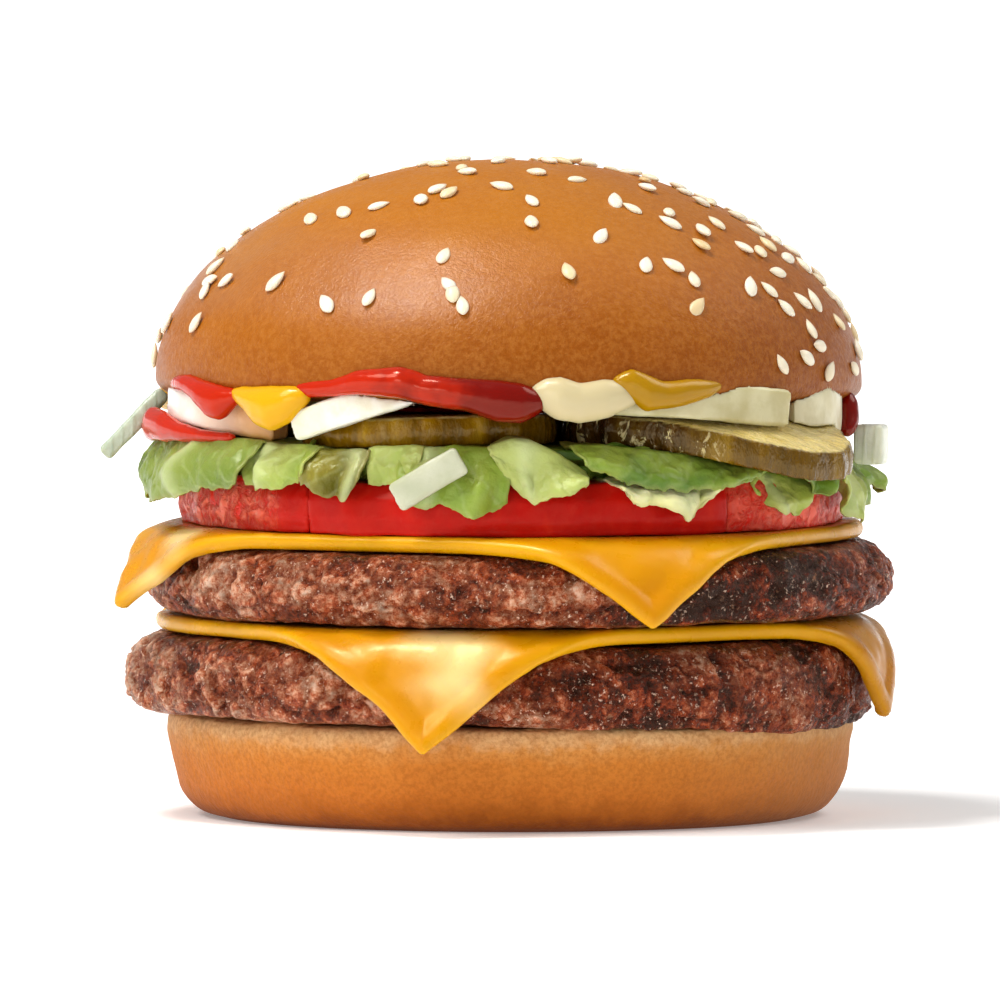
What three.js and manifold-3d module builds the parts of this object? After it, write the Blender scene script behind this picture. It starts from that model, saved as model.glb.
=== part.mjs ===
// A double cheeseburger, modelled layer by layer from the heel of the bun up to its crown.
// Units are millimetres, +Z is up and -Y is the front. Azimuths are in degrees: 0 is the front, and
// they grow towards +X. The origin is on the table, under the middle of the object's box.
import * as THREE from "three";
import { mergeVertices } from "three/addons/utils/BufferGeometryUtils.js";
import Module from "manifold-3d";

const wasm = await Module();
wasm.setup();

// ---- Driving dimensions -------------------------------------------------------------------------
const GAP = 0.3; // between one layer and the next
const BUN_RADIUS = 51; // the crown at its widest
const HEEL = { radius: 49.6, height: 15.2, foot: 42, shift: 0.5 };
const PATTY_EDGE = 5.6; // how far in the rounding of a patty's rim reaches
const PATTY_LOWER = { radius: 53.6, thickness: 11.4, x: -1 };
const PATTY_UPPER = { radius: 54.2, thickness: 10.3, x: 0.7 };
const CHEESE = { side: 98, thickness: 2.3, bend: 4.6, clearance: 0.8, cornerSpread: 0.35 };
const TOMATO = { radius: 48.8, thickness: 7.4, x: 0.8 };
const BED = { radius: 41.5, thickness: 3 };
const LEAF = { thickness: 1, start: 42.6, bend: 3.4 };
const PICKLE = { thickness: 4.3, droopFrom: 41, droop: 0.0175 };
const SPREAD = { radius: 31, thickness: 0.8 };
const CROWN = { height: 34.5, lip: 2.8, cutRadius: 46.5, roundness: 1.9, roll: 0.6 };
const TIP = 2.2; // everything above the tomato slopes up towards the front by this many degrees

// ---- Levels of the layers, each resting on the one below ----------------------------------------
const LEVEL = {};
LEVEL.pattyLower = HEEL.height + GAP;
LEVEL.cheeseLower = LEVEL.pattyLower + PATTY_LOWER.thickness + GAP;
LEVEL.pattyUpper = LEVEL.cheeseLower + CHEESE.thickness + GAP;
LEVEL.cheeseUpper = LEVEL.pattyUpper + PATTY_UPPER.thickness + GAP;
LEVEL.tomato = LEVEL.cheeseUpper + CHEESE.thickness + GAP;
LEVEL.bed = LEVEL.tomato + TOMATO.thickness + GAP;
LEVEL.pickles = LEVEL.bed + BED.thickness + GAP;
LEVEL.onions = LEVEL.pickles + PICKLE.thickness + GAP;
LEVEL.crown = LEVEL.onions + SPREAD.thickness + 2 * GAP;

const rad = THREE.MathUtils.degToRad;
const vec = (x, y, z) => new THREE.Vector3(x, y, z);

// The point at a radius, an azimuth and a height.
function around(radius, azimuth, z) {
  return vec(radius * Math.sin(rad(azimuth)), -radius * Math.cos(rad(azimuth)), z);
}

// Tips a mesh about the X axis at the lettuce, so that it slopes up towards the front.
function tipped(mesh) {
  mesh.position.z -= LEVEL.bed;
  mesh.applyMatrix4(new THREE.Matrix4().makeRotationX(rad(-TIP)));
  mesh.position.z += LEVEL.bed;
  return mesh;
}

// A smooth uneven outline: 1 on average, with a few slow waves of the given size.
function uneven(size, seed) {
  return (angle) =>
    1 +
    size *
      (0.5 * Math.cos(2 * angle + seed) +
        0.35 * Math.cos(3 * angle + 2.3 * seed) +
        0.25 * Math.cos(5 * angle + 4.1 * seed) +
        0.15 * Math.cos(8 * angle + 5.7 * seed));
}

// ---- Closed geometry ----------------------------------------------------------------------------
function geometryOf(points, faces) {
  const geometry = new THREE.BufferGeometry();
  const flat = points.flatMap((p) => [p.x, p.y, p.z]);
  geometry.setAttribute("position", new THREE.Float32BufferAttribute(flat, 3));
  geometry.setIndex(faces.flat());
  geometry.computeVertexNormals();
  return geometry;
}

// A round closed solid through rings of [radius, height], from its lowest point on the axis to its
// highest. outline(angle) scales the radius, depth narrows it along Y and lift(point) raises a point.
function discGeometry(rings, { outline = () => 1, segments = 40, depth = 1, lift = () => 0 } = {}) {
  const points = [];
  const faces = [];
  const raise = (p) => {
    p.z += lift(p);
    points.push(p);
  };
  raise(vec(0, 0, rings[0][1]));
  const middle = rings.slice(1, -1);
  for (const [radius, z] of middle) {
    for (let k = 0; k < segments; k++) {
      const angle = (2 * Math.PI * k) / segments;
      const r = radius * outline(angle);
      raise(vec(r * Math.cos(angle), r * Math.sin(angle) * depth, z));
    }
  }
  raise(vec(0, 0, rings.at(-1)[1]));
  const at = (ring, k) => 1 + ring * segments + (k % segments);
  for (let k = 0; k < segments; k++) {
    faces.push([0, at(0, k + 1), at(0, k)]);
    faces.push([points.length - 1, at(middle.length - 1, k), at(middle.length - 1, k + 1)]);
    for (let ring = 0; ring + 1 < middle.length; ring++) {
      faces.push([at(ring, k), at(ring, k + 1), at(ring + 1, k + 1)]);
      faces.push([at(ring, k), at(ring + 1, k + 1), at(ring + 1, k)]);
    }
  }
  return geometryOf(points, faces);
}

// A closed sheet of even thickness on the surface middle(u, v), for the given steps of u and v.
function sheetGeometry(middle, us, vs, thickness) {
  const h = 1e-3;
  const sides = [1, -1].map((side) =>
    us.map((u) =>
      vs.map((v) => {
        const du = middle(u + h, v).sub(middle(u - h, v));
        const dv = middle(u, v + h).sub(middle(u, v - h));
        const normal = du.cross(dv).normalize();
        return middle(u, v).addScaledVector(normal, (side * thickness) / 2);
      }),
    ),
  );
  const [nu, nv] = [us.length, vs.length];
  const points = sides.flat(2);
  const at = (side, i, j) => side * nu * nv + i * nv + j;
  const faces = [];
  const quad = (a, b, c, d) => faces.push([a, b, c], [a, c, d]);
  for (let i = 0; i + 1 < nu; i++) {
    for (let j = 0; j + 1 < nv; j++) {
      quad(at(0, i, j), at(0, i + 1, j), at(0, i + 1, j + 1), at(0, i, j + 1));
      quad(at(1, i, j), at(1, i, j + 1), at(1, i + 1, j + 1), at(1, i + 1, j));
    }
    quad(at(0, i, 0), at(1, i, 0), at(1, i + 1, 0), at(0, i + 1, 0));
    quad(at(0, i, nv - 1), at(0, i + 1, nv - 1), at(1, i + 1, nv - 1), at(1, i, nv - 1));
  }
  for (let j = 0; j + 1 < nv; j++) {
    quad(at(0, 0, j), at(0, 0, j + 1), at(1, 0, j + 1), at(1, 0, j));
    quad(at(0, nu - 1, j), at(1, nu - 1, j), at(1, nu - 1, j + 1), at(0, nu - 1, j + 1));
  }
  return geometryOf(points, faces);
}

// A rounded run of sauce along a curve through the given points. Each point holds its half width
// across the run and half height; both ends close in a dome.
function runGeometry(stops, { sides = 7, steps = 6 } = {}) {
  const curve = new THREE.CatmullRomCurve3(stops.map((s) => s.at));
  const points = [];
  const faces = [];
  const up = vec(0, 0, 1);
  const place = (t, share) => {
    const stop = t * (stops.length - 1);
    const i = Math.min(Math.floor(stop), stops.length - 2);
    const along = stop - i;
    const wide = THREE.MathUtils.lerp(stops[i].wide, stops[i + 1].wide, along) * share;
    const high = THREE.MathUtils.lerp(stops[i].high, stops[i + 1].high, along) * share;
    const across = curve.getTangent(t).cross(up).normalize();
    const over = across.clone().cross(curve.getTangent(t)).normalize();
    for (let k = 0; k < sides; k++) {
      const angle = (2 * Math.PI * k) / sides;
      points.push(
        curve
          .getPoint(t)
          .addScaledVector(across, wide * Math.cos(angle))
          .addScaledVector(over, high * Math.sin(angle)),
      );
    }
  };
  points.push(curve.getPoint(0));
  for (let i = 0; i < steps; i++) {
    const t = (1 - Math.cos((Math.PI * (i + 0.5)) / steps)) / 2;
    const dome = Math.sqrt(1 - (2 * t - 1) ** 8);
    place(t, dome);
  }
  points.push(curve.getPoint(1));
  const at = (ring, k) => 1 + ring * sides + (k % sides);
  for (let k = 0; k < sides; k++) {
    faces.push([0, at(0, k), at(0, k + 1)]);
    faces.push([points.length - 1, at(steps - 1, k + 1), at(steps - 1, k)]);
    for (let ring = 0; ring + 1 < steps; ring++) {
      faces.push([at(ring, k), at(ring + 1, k + 1), at(ring, k + 1)]);
      faces.push([at(ring, k), at(ring + 1, k), at(ring + 1, k + 1)]);
    }
  }
  return geometryOf(points, faces);
}

// A piece of an onion ring: a sector between two radii, standing height tall, with softened edges.
function arcGeometry({ inner, outer, span, height, soften = 0.4 }) {
  const half = rad(span) / 2;
  const shape = new THREE.Shape();
  shape.absarc(0, 0, outer - soften, -half, half, false);
  shape.absarc(0, 0, inner + soften, half, -half, true);
  shape.closePath();
  const geometry = new THREE.ExtrudeGeometry(shape, {
    depth: height - 2 * soften,
    curveSegments: 4,
    bevelEnabled: true,
    bevelThickness: soften,
    bevelSize: soften,
    bevelSegments: 1,
  });
  return geometry.translate(0, 0, soften);
}

// ---- Joining and cutting ------------------------------------------------------------------------
function solidOf(mesh) {
  mesh.updateMatrixWorld(true);
  const bare = mesh.geometry.clone().applyMatrix4(mesh.matrixWorld);
  bare.deleteAttribute("normal");
  bare.deleteAttribute("uv");
  const merged = mergeVertices(bare, 1e-3);
  const vertProperties = new Float32Array(merged.attributes.position.array);
  const triVerts = new Uint32Array(merged.index.array);
  return new wasm.Manifold(new wasm.Mesh({ numProp: 3, vertProperties, triVerts }));
}

// The mesh enlarged in its own frame so that each side of its box stands GAP further out.
function grown(mesh, by = GAP) {
  const larger = mesh.clone();
  larger.geometry = mesh.geometry.clone();
  larger.geometry.computeBoundingBox();
  const size = larger.geometry.boundingBox.getSize(vec(0, 0, 0));
  const middle = larger.geometry.boundingBox.getCenter(vec(0, 0, 0));
  larger.geometry.translate(-middle.x, -middle.y, -middle.z);
  larger.geometry.scale(1 + (2 * by) / size.x, 1 + (2 * by) / size.y, 1 + (2 * by) / size.z);
  larger.geometry.translate(middle.x, middle.y, middle.z);
  return larger;
}

// The mesh less its neighbours. Only its largest piece is kept.
function cutBy(mesh, neighbours, by = GAP) {
  let solid = solidOf(mesh);
  for (const neighbour of neighbours) solid = solid.subtract(solidOf(grown(neighbour, by)));
  const pieces = solid.decompose().sort((a, b) => b.volume() - a.volume());
  const cut = pieces[0].getMesh();
  const geometry = new THREE.BufferGeometry();
  geometry.setAttribute("position", new THREE.Float32BufferAttribute(cut.vertProperties, 3));
  geometry.setIndex([...cut.triVerts]);
  geometry.computeVertexNormals();
  return named(mesh.name, geometry, mesh.material);
}

// ---- Materials ----------------------------------------------------------------------------------
function finish(color, roughness) {
  return new THREE.MeshStandardMaterial({ color, roughness, metalness: 0 });
}

const LOOK = {
  crust: finish("#c47a3c", 0.5),
  heelCrust: finish("#d99a55", 0.75),
  beef: finish("#5a2e20", 0.45),
  cheese: finish("#f6b622", 0.3),
  tomato: finish("#c81e1e", 0.25),
  lettuce: finish("#a3bd5e", 0.45),
  pickle: finish("#7d7416", 0.3),
  onion: finish("#ece9d8", 0.3),
  ketchup: finish("#b81a10", 0.2),
  mustard: finish("#e3ad17", 0.3),
  mayonnaise: finish("#f0e6cb", 0.3),
};

function named(name, geometry, material) {
  const mesh = new THREE.Mesh(geometry, material);
  mesh.name = name;
  return mesh;
}

// ---- The bun ------------------------------------------------------------------------------------
function heel() {
  const { radius, height, foot } = HEEL;
  const rings = [
    [0, 0],
    [foot, 0],
    [foot + 3.6, 1.3],
    [radius - 1.9, 4.6],
    [radius - 0.7, 9],
    [radius, height - 2.2],
    [radius - 0.4, height - 0.7],
    [radius - 1.6, height],
    [0, height],
  ];
  const geometry = discGeometry(rings, { outline: uneven(0.008, 1), segments: 28 });
  const mesh = named("bun_heel", geometry, LOOK.heelCrust);
  mesh.position.x = HEEL.shift;
  return mesh;
}

// The crown is a superellipse dome on a rounded lip, cut flat below and tipped a little.
function crown() {
  const { height, lip, cutRadius, roundness } = CROWN;
  const rings = [
    [0, 0],
    [cutRadius, 0],
    [(cutRadius + 2 * BUN_RADIUS) / 3, lip * 0.35],
  ];
  const steps = 9;
  for (let i = 0; i < steps; i++) {
    const angle = (Math.PI / 2) * (i / steps) ** 0.9;
    const radius = BUN_RADIUS * Math.cos(angle) ** (2 / roundness);
    rings.push([radius, lip + (height - lip) * Math.sin(angle) ** (2 / roundness)]);
  }
  rings.push([0, height]);
  const geometry = discGeometry(rings, { outline: uneven(0.008, 2.6), segments: 34 });
  const mesh = named("bun_crown", geometry, LOOK.crust);
  mesh.rotation.y = rad(CROWN.roll);
  mesh.position.z = LEVEL.crown;
  return tipped(mesh);
}

// ---- Patties and the cheese on them -------------------------------------------------------------
function patty({ name, z, x, radius, thickness, outline }) {
  const edge = PATTY_EDGE;
  const rings = [
    [0, 0],
    [radius - edge * 0.75, 0],
    [radius - edge * 0.22, thickness * 0.14],
    [radius, thickness * 0.36],
    [radius - edge * 0.1, thickness * 0.6],
    [radius - edge * 0.5, thickness * 0.84],
    [radius - edge * 1.2, thickness],
    [0, thickness],
  ];
  const mesh = named(name, discGeometry(rings, { outline, segments: 28 }), LOOK.beef);
  mesh.position.set(x, 0, z);
  return mesh;
}

// How far out and down a sheet has come, s along it from where it starts to bend over a rim.
function hang(s, bend, steepest) {
  if (s <= 0) return { out: s, down: 0 };
  const turned = Math.min(s / bend, steepest);
  const straight = Math.max(0, s - steepest * bend);
  return {
    out: bend * Math.sin(turned) + straight * Math.cos(steepest),
    down: bend * (1 - Math.cos(turned)) + straight * Math.sin(steepest),
  };
}

// How much of a corner's own shape there is at an angle, 1 in the corner's direction.
function nearness(angle, toward) {
  const away = angle - rad(toward);
  return Math.exp(-((Math.atan2(Math.sin(away), Math.cos(away)) / CHEESE.cornerSpread) ** 2));
}

// A square slice, turned about Z, that lies flat on its patty and hangs down past the patty's rim.
// Each of its corners has melted its own way: drawn in by a share of its reach, standing off the
// patty by `flare` degrees and slid round it by `swing` degrees.
function cheese({ name, z, x, radius, turn, outline, steepest, corners }) {
  const { side, thickness, bend, clearance } = CHEESE;
  const middle = (u, v) => {
    const flat = vec((u * side) / 2, (v * side) / 2, 0).applyAxisAngle(vec(0, 0, 1), rad(turn));
    const angle = Math.atan2(flat.y, flat.x);
    let reach = flat.length();
    let steep = steepest;
    let veer = 0;
    for (const { toward, drawnIn, flare = 0, swing = 0 } of corners) {
      const share = nearness(angle, toward);
      reach *= 1 - drawnIn * share;
      steep -= flare * share;
      veer += rad(swing) * share;
    }
    flat.applyAxisAngle(vec(0, 0, 1), veer);
    const outside = radius * outline(angle + veer) + clearance + thickness / 2;
    const { out, down } = hang(reach - (outside - bend), bend, rad(steep));
    const scale = reach ? (outside - bend + out) / flat.length() : 1;
    return vec(flat.x * scale, flat.y * scale, -down);
  };
  const steps = [-1, -0.91, -0.82, -0.73, -0.64, -0.4, 0, 0.4, 0.64, 0.73, 0.82, 0.91, 1];
  const mesh = named(name, sheetGeometry(middle, steps, steps, thickness), LOOK.cheese);
  mesh.position.set(x, 0, z + thickness / 2);
  return mesh;
}

// ---- Tomato: three slices side by side in one layer, trimmed where they meet -----------------------
// Each seam is a plane from front to back, at a distance along X and a turn about Z.
const SEAMS = { left: { x: -23.2, turn: -8 }, right: { x: 25, turn: 9 } };

// A block that holds everything on one side of a seam, up to half a gap short of it.
function beside({ x, turn }, side) {
  const size = 200;
  const geometry = new THREE.BoxGeometry(size, size, size / 4);
  geometry.translate(x + side * (size / 2 - GAP / 2), 0, LEVEL.tomato);
  return named("knife", geometry.rotateZ(rad(turn)));
}

function tomatoSlices() {
  const { radius, thickness } = TOMATO;
  const rings = [
    [0, 0],
    [radius - 0.8, 0],
    [radius, thickness * 0.3],
    [radius - 0.2, thickness * 0.65],
    [radius - 1.4, thickness],
    [0, thickness],
  ];
  const geometry = discGeometry(rings, { outline: uneven(0.014, 4), segments: 27 });
  geometry.translate(TOMATO.x, 0, LEVEL.tomato);
  const slice = (name) => named(name, geometry, LOOK.tomato);
  return [
    cutBy(slice("tomato_left"), [beside(SEAMS.left, 1)], 0),
    cutBy(slice("tomato_middle"), [beside(SEAMS.left, -1), beside(SEAMS.right, 1)], 0),
    cutBy(slice("tomato_right"), [beside(SEAMS.right, -1)], 0),
  ];
}

// ---- Lettuce: a bed of shreds, and the larger torn leaves that show around it -------------------
function lettuceBed() {
  const { radius, thickness } = BED;
  const slope = Math.tan(rad(TIP));
  const rings = [
    [0, 0],
    [radius - 1.5, 0],
    [radius, thickness * 0.5],
    [radius - 1.5, thickness],
    [0, thickness],
  ];
  const lift = (p) => (p.z > thickness * 0.75 ? -p.y * slope : 0);
  const geometry = discGeometry(rings, { outline: uneven(0.015, 5.5), segments: 20, lift });
  const mesh = named("lettuce_bed", geometry, LOOK.lettuce);
  mesh.position.z = LEVEL.bed;
  return mesh;
}

// Each leaf: azimuth, width, length along the leaf, height at its root above the bed's underside,
// where it bends over, and how steeply it hangs.
const LEAVES = [
  { at: -57, width: 29, length: 17, rise: 4.2, rim: 47.6, steepest: 68 },
  { at: -31, width: 8.6, length: 14.5, rise: 3, rim: 46, steepest: 78 },
  { at: -19, width: 8.2, length: 11, rise: 3.4, rim: 46, steepest: 80 },
  { at: -6.5, width: 9.6, length: 16, rise: 3.2, rim: 47, steepest: 70 },
  { at: 9, width: 12.4, length: 15.5, rise: 3.4, rim: 48, steepest: 68 },
  { at: 34, width: 23.6, length: 14, rise: 2.2, rim: 47, steepest: 66 },
  { at: 58.5, width: 11.6, length: 13, rise: 1.2, rim: 46, steepest: 70 },
  { at: 73.5, width: 9.6, length: 13.5, rise: 1.7, rim: 47.5, steepest: 68 },
  { at: 91, width: 15.2, length: 14, rise: 1.1, rim: 46.6, steepest: 45 },
  { at: 114, width: 18, length: 15, rise: 1.4, rim: 46.5, steepest: 66 },
  { at: 139, width: 17.8, length: 13, rise: 1.2, rim: 46, steepest: 56 },
  { at: 162, width: 15.4, length: 15, rise: 0.9, rim: 46.5, steepest: 70 },
  { at: 187, width: 20.4, length: 14, rise: 1.1, rim: 46, steepest: 62 },
  { at: 211, width: 14, length: 15, rise: 1.2, rim: 46.5, steepest: 70 },
  { at: 236, width: 21.8, length: 13.5, rise: 1.6, rim: 46, steepest: 56 },
  { at: 266, width: 20, length: 15, rise: 2.4, rim: 46.6, steepest: 68 },
];

function leaf(spec, index) {
  const { at, width, length, rise, rim, steepest } = spec;
  const z = LEVEL.bed + rise;
  const middle = (u, v) => {
    const narrowed = width * (1 - 0.35 * u * u) * v;
    const angle = at + (narrowed / LEAF.start) * THREE.MathUtils.RAD2DEG * (1 - 0.12 * u);
    const { out, down } = hang(LEAF.start + u * length - rim, LEAF.bend, rad(steepest));
    const ruffle = 0.35 * Math.sin(9 * v + 2 * index) * u;
    return around(rim + out + ruffle, angle, z - down);
  };
  const us = [0, 0.25, 0.42, 0.6, 0.8, 1];
  const vs = [-0.5, -0.17, 0.17, 0.5];
  const name = `lettuce_leaf_${String(index + 1).padStart(2, "0")}`;
  return named(name, sheetGeometry(middle, us, vs, LEAF.thickness), LOOK.lettuce);
}

// ---- Pickle slices ------------------------------------------------------------------------------
const PICKLES = [
  { name: "pickle_right", x: 28.9, y: -27, radius: 21, depth: 0.8 },
  { name: "pickle_middle", x: -12, y: -27, radius: 19.2, depth: 0.85 },
  { name: "pickle_left", x: -36, y: -5, radius: 12.6, depth: 0.95 },
  { name: "pickle_back_left", x: -17, y: 23.5, radius: 17.5, depth: 0.95 },
  { name: "pickle_back_right", x: 22, y: 20.5, radius: 18.5, depth: 0.95 },
];

// A slice lies flat inside the burger and bends down where it reaches past the lettuce bed.
function pickle({ name, x, y, radius, depth }, index) {
  const { thickness, droopFrom, droop } = PICKLE;
  const rings = [
    [0, 0],
    [radius * 0.5, 0],
    [radius - 0.5, 0],
    [radius, thickness * 0.5],
    [radius - 0.5, thickness],
    [radius * 0.5, thickness],
    [0, thickness],
  ];
  const lift = (p) => -droop * Math.max(0, Math.hypot(p.x + x, p.y + y) - droopFrom) ** 2;
  const outline = uneven(0.02, 1.7 * index + 1);
  const geometry = discGeometry(rings, { outline, segments: 16, depth, lift });
  const mesh = named(name, geometry, LOOK.pickle);
  mesh.position.set(x, y, LEVEL.pickles);
  return tipped(mesh);
}

// ---- Onion: pieces of rings ---------------------------------------------------------------------
// Each is a sector whose middle lies at azimuth `at` and distance `from` the axis, bowed towards
// the azimuth `facing`, at a height above its layer's level and a tilt along its length.
const ONIONS = [
  {
    name: "left",
    ring: { bow: 31, wide: 4.6, span: 46, tall: 4.8 },
    place: { at: -63, from: 47.5, facing: -54, rise: -2.5, tilt: -7 },
  },
  {
    name: "middle",
    ring: { bow: 27, wide: 4, span: 44, tall: 4.4 },
    place: { at: -25, from: 48.4, facing: -16, rise: -0.8, tilt: 17 },
  },
  {
    name: "right",
    ring: { bow: 42, wide: 4.4, span: 38, tall: 5.4 },
    place: { at: 34, from: 48.4, facing: 25, rise: -1, tilt: -4 },
  },
  {
    name: "right_end",
    ring: { bow: 15, wide: 4.6, span: 56, tall: 8.1 },
    place: { at: 65.5, from: 48.8, facing: 66, rise: -3.2, tilt: 0 },
  },
  {
    name: "far_right",
    ring: { bow: 24, wide: 4.4, span: 17, tall: 5.9 },
    place: { at: 81.5, from: 53.2, facing: 84, rise: -7.8, tilt: 0 },
  },
  {
    name: "far_left",
    ring: { bow: 20, wide: 1.6, span: 34, tall: 2.5 },
    place: { at: -86, from: 53.5, facing: 5, rise: -2.7, tilt: 46 },
  },
  {
    name: "flake",
    ring: { bow: 30, wide: 1.4, span: 20, tall: 4.4 },
    place: { at: -11.6, from: 52.4, facing: -12, rise: -11.2, tilt: 30 },
  },
  {
    name: "back_right",
    ring: { bow: 24, wide: 4, span: 62, tall: 5.4 },
    place: { at: 140, from: 46.6, facing: 146, rise: -0.4, tilt: 0 },
  },
  {
    name: "back_left",
    ring: { bow: 26, wide: 4, span: 60, tall: 5.4 },
    place: { at: 214, from: 46.6, facing: 205, rise: -0.4, tilt: 0 },
  },
];

function onion({ name, ring, place }) {
  const { bow, wide, span, tall } = ring;
  const { at, from, facing, rise, tilt } = place;
  const inner = bow - wide / 2;
  const outer = bow + wide / 2;
  const geometry = arcGeometry({ inner, outer, span, height: tall });
  geometry.translate(-bow, 0, 0);
  const mesh = named(`onion_${name}`, geometry, LOOK.onion);
  const turn = new THREE.Matrix4().makeRotationZ(rad(facing - 90));
  const slope = new THREE.Matrix4().makeRotationX(rad(tilt));
  mesh.applyMatrix4(turn.multiply(slope));
  mesh.position.copy(around(from, at, LEVEL.onions + rise));
  return tipped(mesh);
}

// ---- Sauces: the ketchup spread under the crown, and the runs squeezed out over the toppings ----
function ketchupSpread() {
  const { radius, thickness } = SPREAD;
  const rings = [
    [0, 0],
    [radius - 0.5, 0],
    [radius, thickness * 0.5],
    [radius - 0.5, thickness],
    [0, thickness],
  ];
  const geometry = discGeometry(rings, { outline: uneven(0.06, 2.2), segments: 18 });
  const mesh = named("ketchup_spread", geometry, LOOK.ketchup);
  mesh.position.z = LEVEL.onions;
  return tipped(mesh);
}

// The stops of each run: azimuth, distance from the axis, height over the onions' level, half its
// width across and half its height.
const RUNS = [
  {
    name: "ketchup_left",
    look: LOOK.ketchup,
    stops: [
      [-64, 50, 3.8, 1.8, 1.6],
      [-57, 50.4, 2.6, 2, 2.6],
      [-51, 50, 3.4, 1.8, 1.8],
    ],
  },
  {
    name: "ketchup_smear",
    look: LOOK.ketchup,
    stops: [
      [-84, 50.6, -1.4, 1.2, 1.6],
      [-74, 50.8, -2, 1.5, 2],
      [-62, 50, -2.2, 1.2, 1.3],
    ],
  },
  {
    name: "ketchup_right",
    look: LOOK.ketchup,
    stops: [
      [77, 50.2, 1.8, 1.3, 1.2],
      [76, 50.8, -0.4, 1.5, 2],
      [74, 51, -2.6, 1.4, 1.3],
    ],
  },
  {
    name: "mustard_left",
    look: LOOK.mustard,
    stops: [
      [-50, 50, 3, 1.6, 1.6],
      [-44, 50.6, 2.2, 2.2, 2.8],
      [-38.5, 50, 2.8, 1.8, 2.2],
    ],
  },
  {
    name: "ketchup_middle",
    look: LOOK.ketchup,
    stops: [
      [-37, 49.6, 4.2, 1.8, 2],
      [-26, 51, 4.4, 2.2, 3],
      [-12, 51.2, 3.6, 2.4, 3.2],
      [-3, 51, 2.4, 2.2, 3.6],
      [4, 49.6, 1.6, 1.8, 2.6],
    ],
  },
  {
    name: "mayonnaise_middle",
    look: LOOK.mayonnaise,
    stops: [
      [6, 49, 2.2, 1.8, 2.4],
      [13, 50.2, 2.2, 2.4, 3],
      [20, 49.6, 2.8, 2, 2.2],
    ],
  },
  {
    name: "mustard_middle",
    look: LOOK.mustard,
    stops: [
      [17, 51.4, 6, 1.4, 1.2],
      [25, 51.6, 5.2, 1.9, 2.2],
      [36, 50.8, 4.6, 1.6, 1.6],
    ],
  },
  {
    name: "ketchup_back",
    look: LOOK.ketchup,
    stops: [
      [160, 49, 1.4, 1.8, 1.6],
      [176, 50, 1.2, 2.2, 2.4],
      [196, 49, 1.6, 1.8, 1.6],
    ],
  },
  {
    name: "mustard_back",
    look: LOOK.mustard,
    stops: [
      [238, 49, 1.4, 1.6, 1.5],
      [250, 49.6, 1.4, 2, 2],
      [262, 49, 1.8, 1.6, 1.4],
    ],
  },
  {
    name: "mayonnaise_side",
    look: LOOK.mayonnaise,
    stops: [
      [104, 49, 1.8, 1.6, 1.6],
      [114, 49.8, 1.4, 2.2, 2.2],
      [124, 49, 1.8, 1.6, 1.6],
    ],
  },
];

function run({ name, look, stops }) {
  const path = stops.map(([azimuth, radius, height, wide, high]) => ({
    at: around(radius, azimuth, LEVEL.onions + height),
    wide,
    high,
  }));
  return tipped(named(name, runGeometry(path), look));
}

// ---- The whole ----------------------------------------------------------------------------------
const outlineLower = uneven(0.018, 0.7);
const outlineUpper = uneven(0.02, 3.1);
const onLower = { x: PATTY_LOWER.x, radius: PATTY_LOWER.radius, outline: outlineLower };
const onUpper = { x: PATTY_UPPER.x, radius: PATTY_UPPER.radius, outline: outlineUpper };

const cheeseUpper = cheese({
  ...onUpper,
  name: "cheese_upper",
  z: LEVEL.cheeseUpper,
  turn: 64,
  steepest: 82,
  corners: [
    { toward: 199, drawnIn: 0.045, flare: 24 },
    { toward: 289, drawnIn: 0.022 },
    { toward: 19, drawnIn: 0.2 },
    { toward: 109, drawnIn: 0.05 },
  ],
});
const cheeseLower = cheese({
  ...onLower,
  name: "cheese_lower",
  z: LEVEL.cheeseLower,
  turn: 34,
  steepest: 84,
  corners: [
    { toward: 169, drawnIn: 0.205 },
    { toward: 259, drawnIn: -0.015 },
    { toward: 349, drawnIn: 0.02, swing: -6 },
    { toward: 79, drawnIn: 0.03 },
  ],
});
const tomato = tomatoSlices();
const bunCrown = crown();

// Softer things give way to firmer ones: the onions are pressed by the crown and the pickles, the
// leaves by all that they touch, and the sauces fill what is left.
const pickles = PICKLES.map(pickle);
const onions = ONIONS.map((spec) => cutBy(onion(spec), [bunCrown, ...pickles]));
const firm = [cheeseUpper, ...tomato, ...pickles, ...onions];
const leaves = LEAVES.map((spec, index) => cutBy(leaf(spec, index), firm));
const runs = RUNS.map((spec) => cutBy(run(spec), [bunCrown, ...onions, ...pickles, ...leaves]));

const burger = new THREE.Group();
burger.add(
  heel(),
  patty({ ...PATTY_LOWER, outline: outlineLower, name: "patty_lower", z: LEVEL.pattyLower }),
  cheeseLower,
  patty({ ...PATTY_UPPER, outline: outlineUpper, name: "patty_upper", z: LEVEL.pattyUpper }),
  cheeseUpper,
  ...tomato,
  cutBy(lettuceBed(), pickles),
  ...leaves,
  ...pickles,
  ...onions,
  ketchupSpread(),
  ...runs,
  bunCrown,
);

// The origin goes under the middle of the whole object's box.
const box = new THREE.Box3().setFromObject(burger, true);
const middle = box.getCenter(vec(0, 0, 0));
burger.position.set(-middle.x, -middle.y, -box.min.z);

export default burger;
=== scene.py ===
import math

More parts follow.
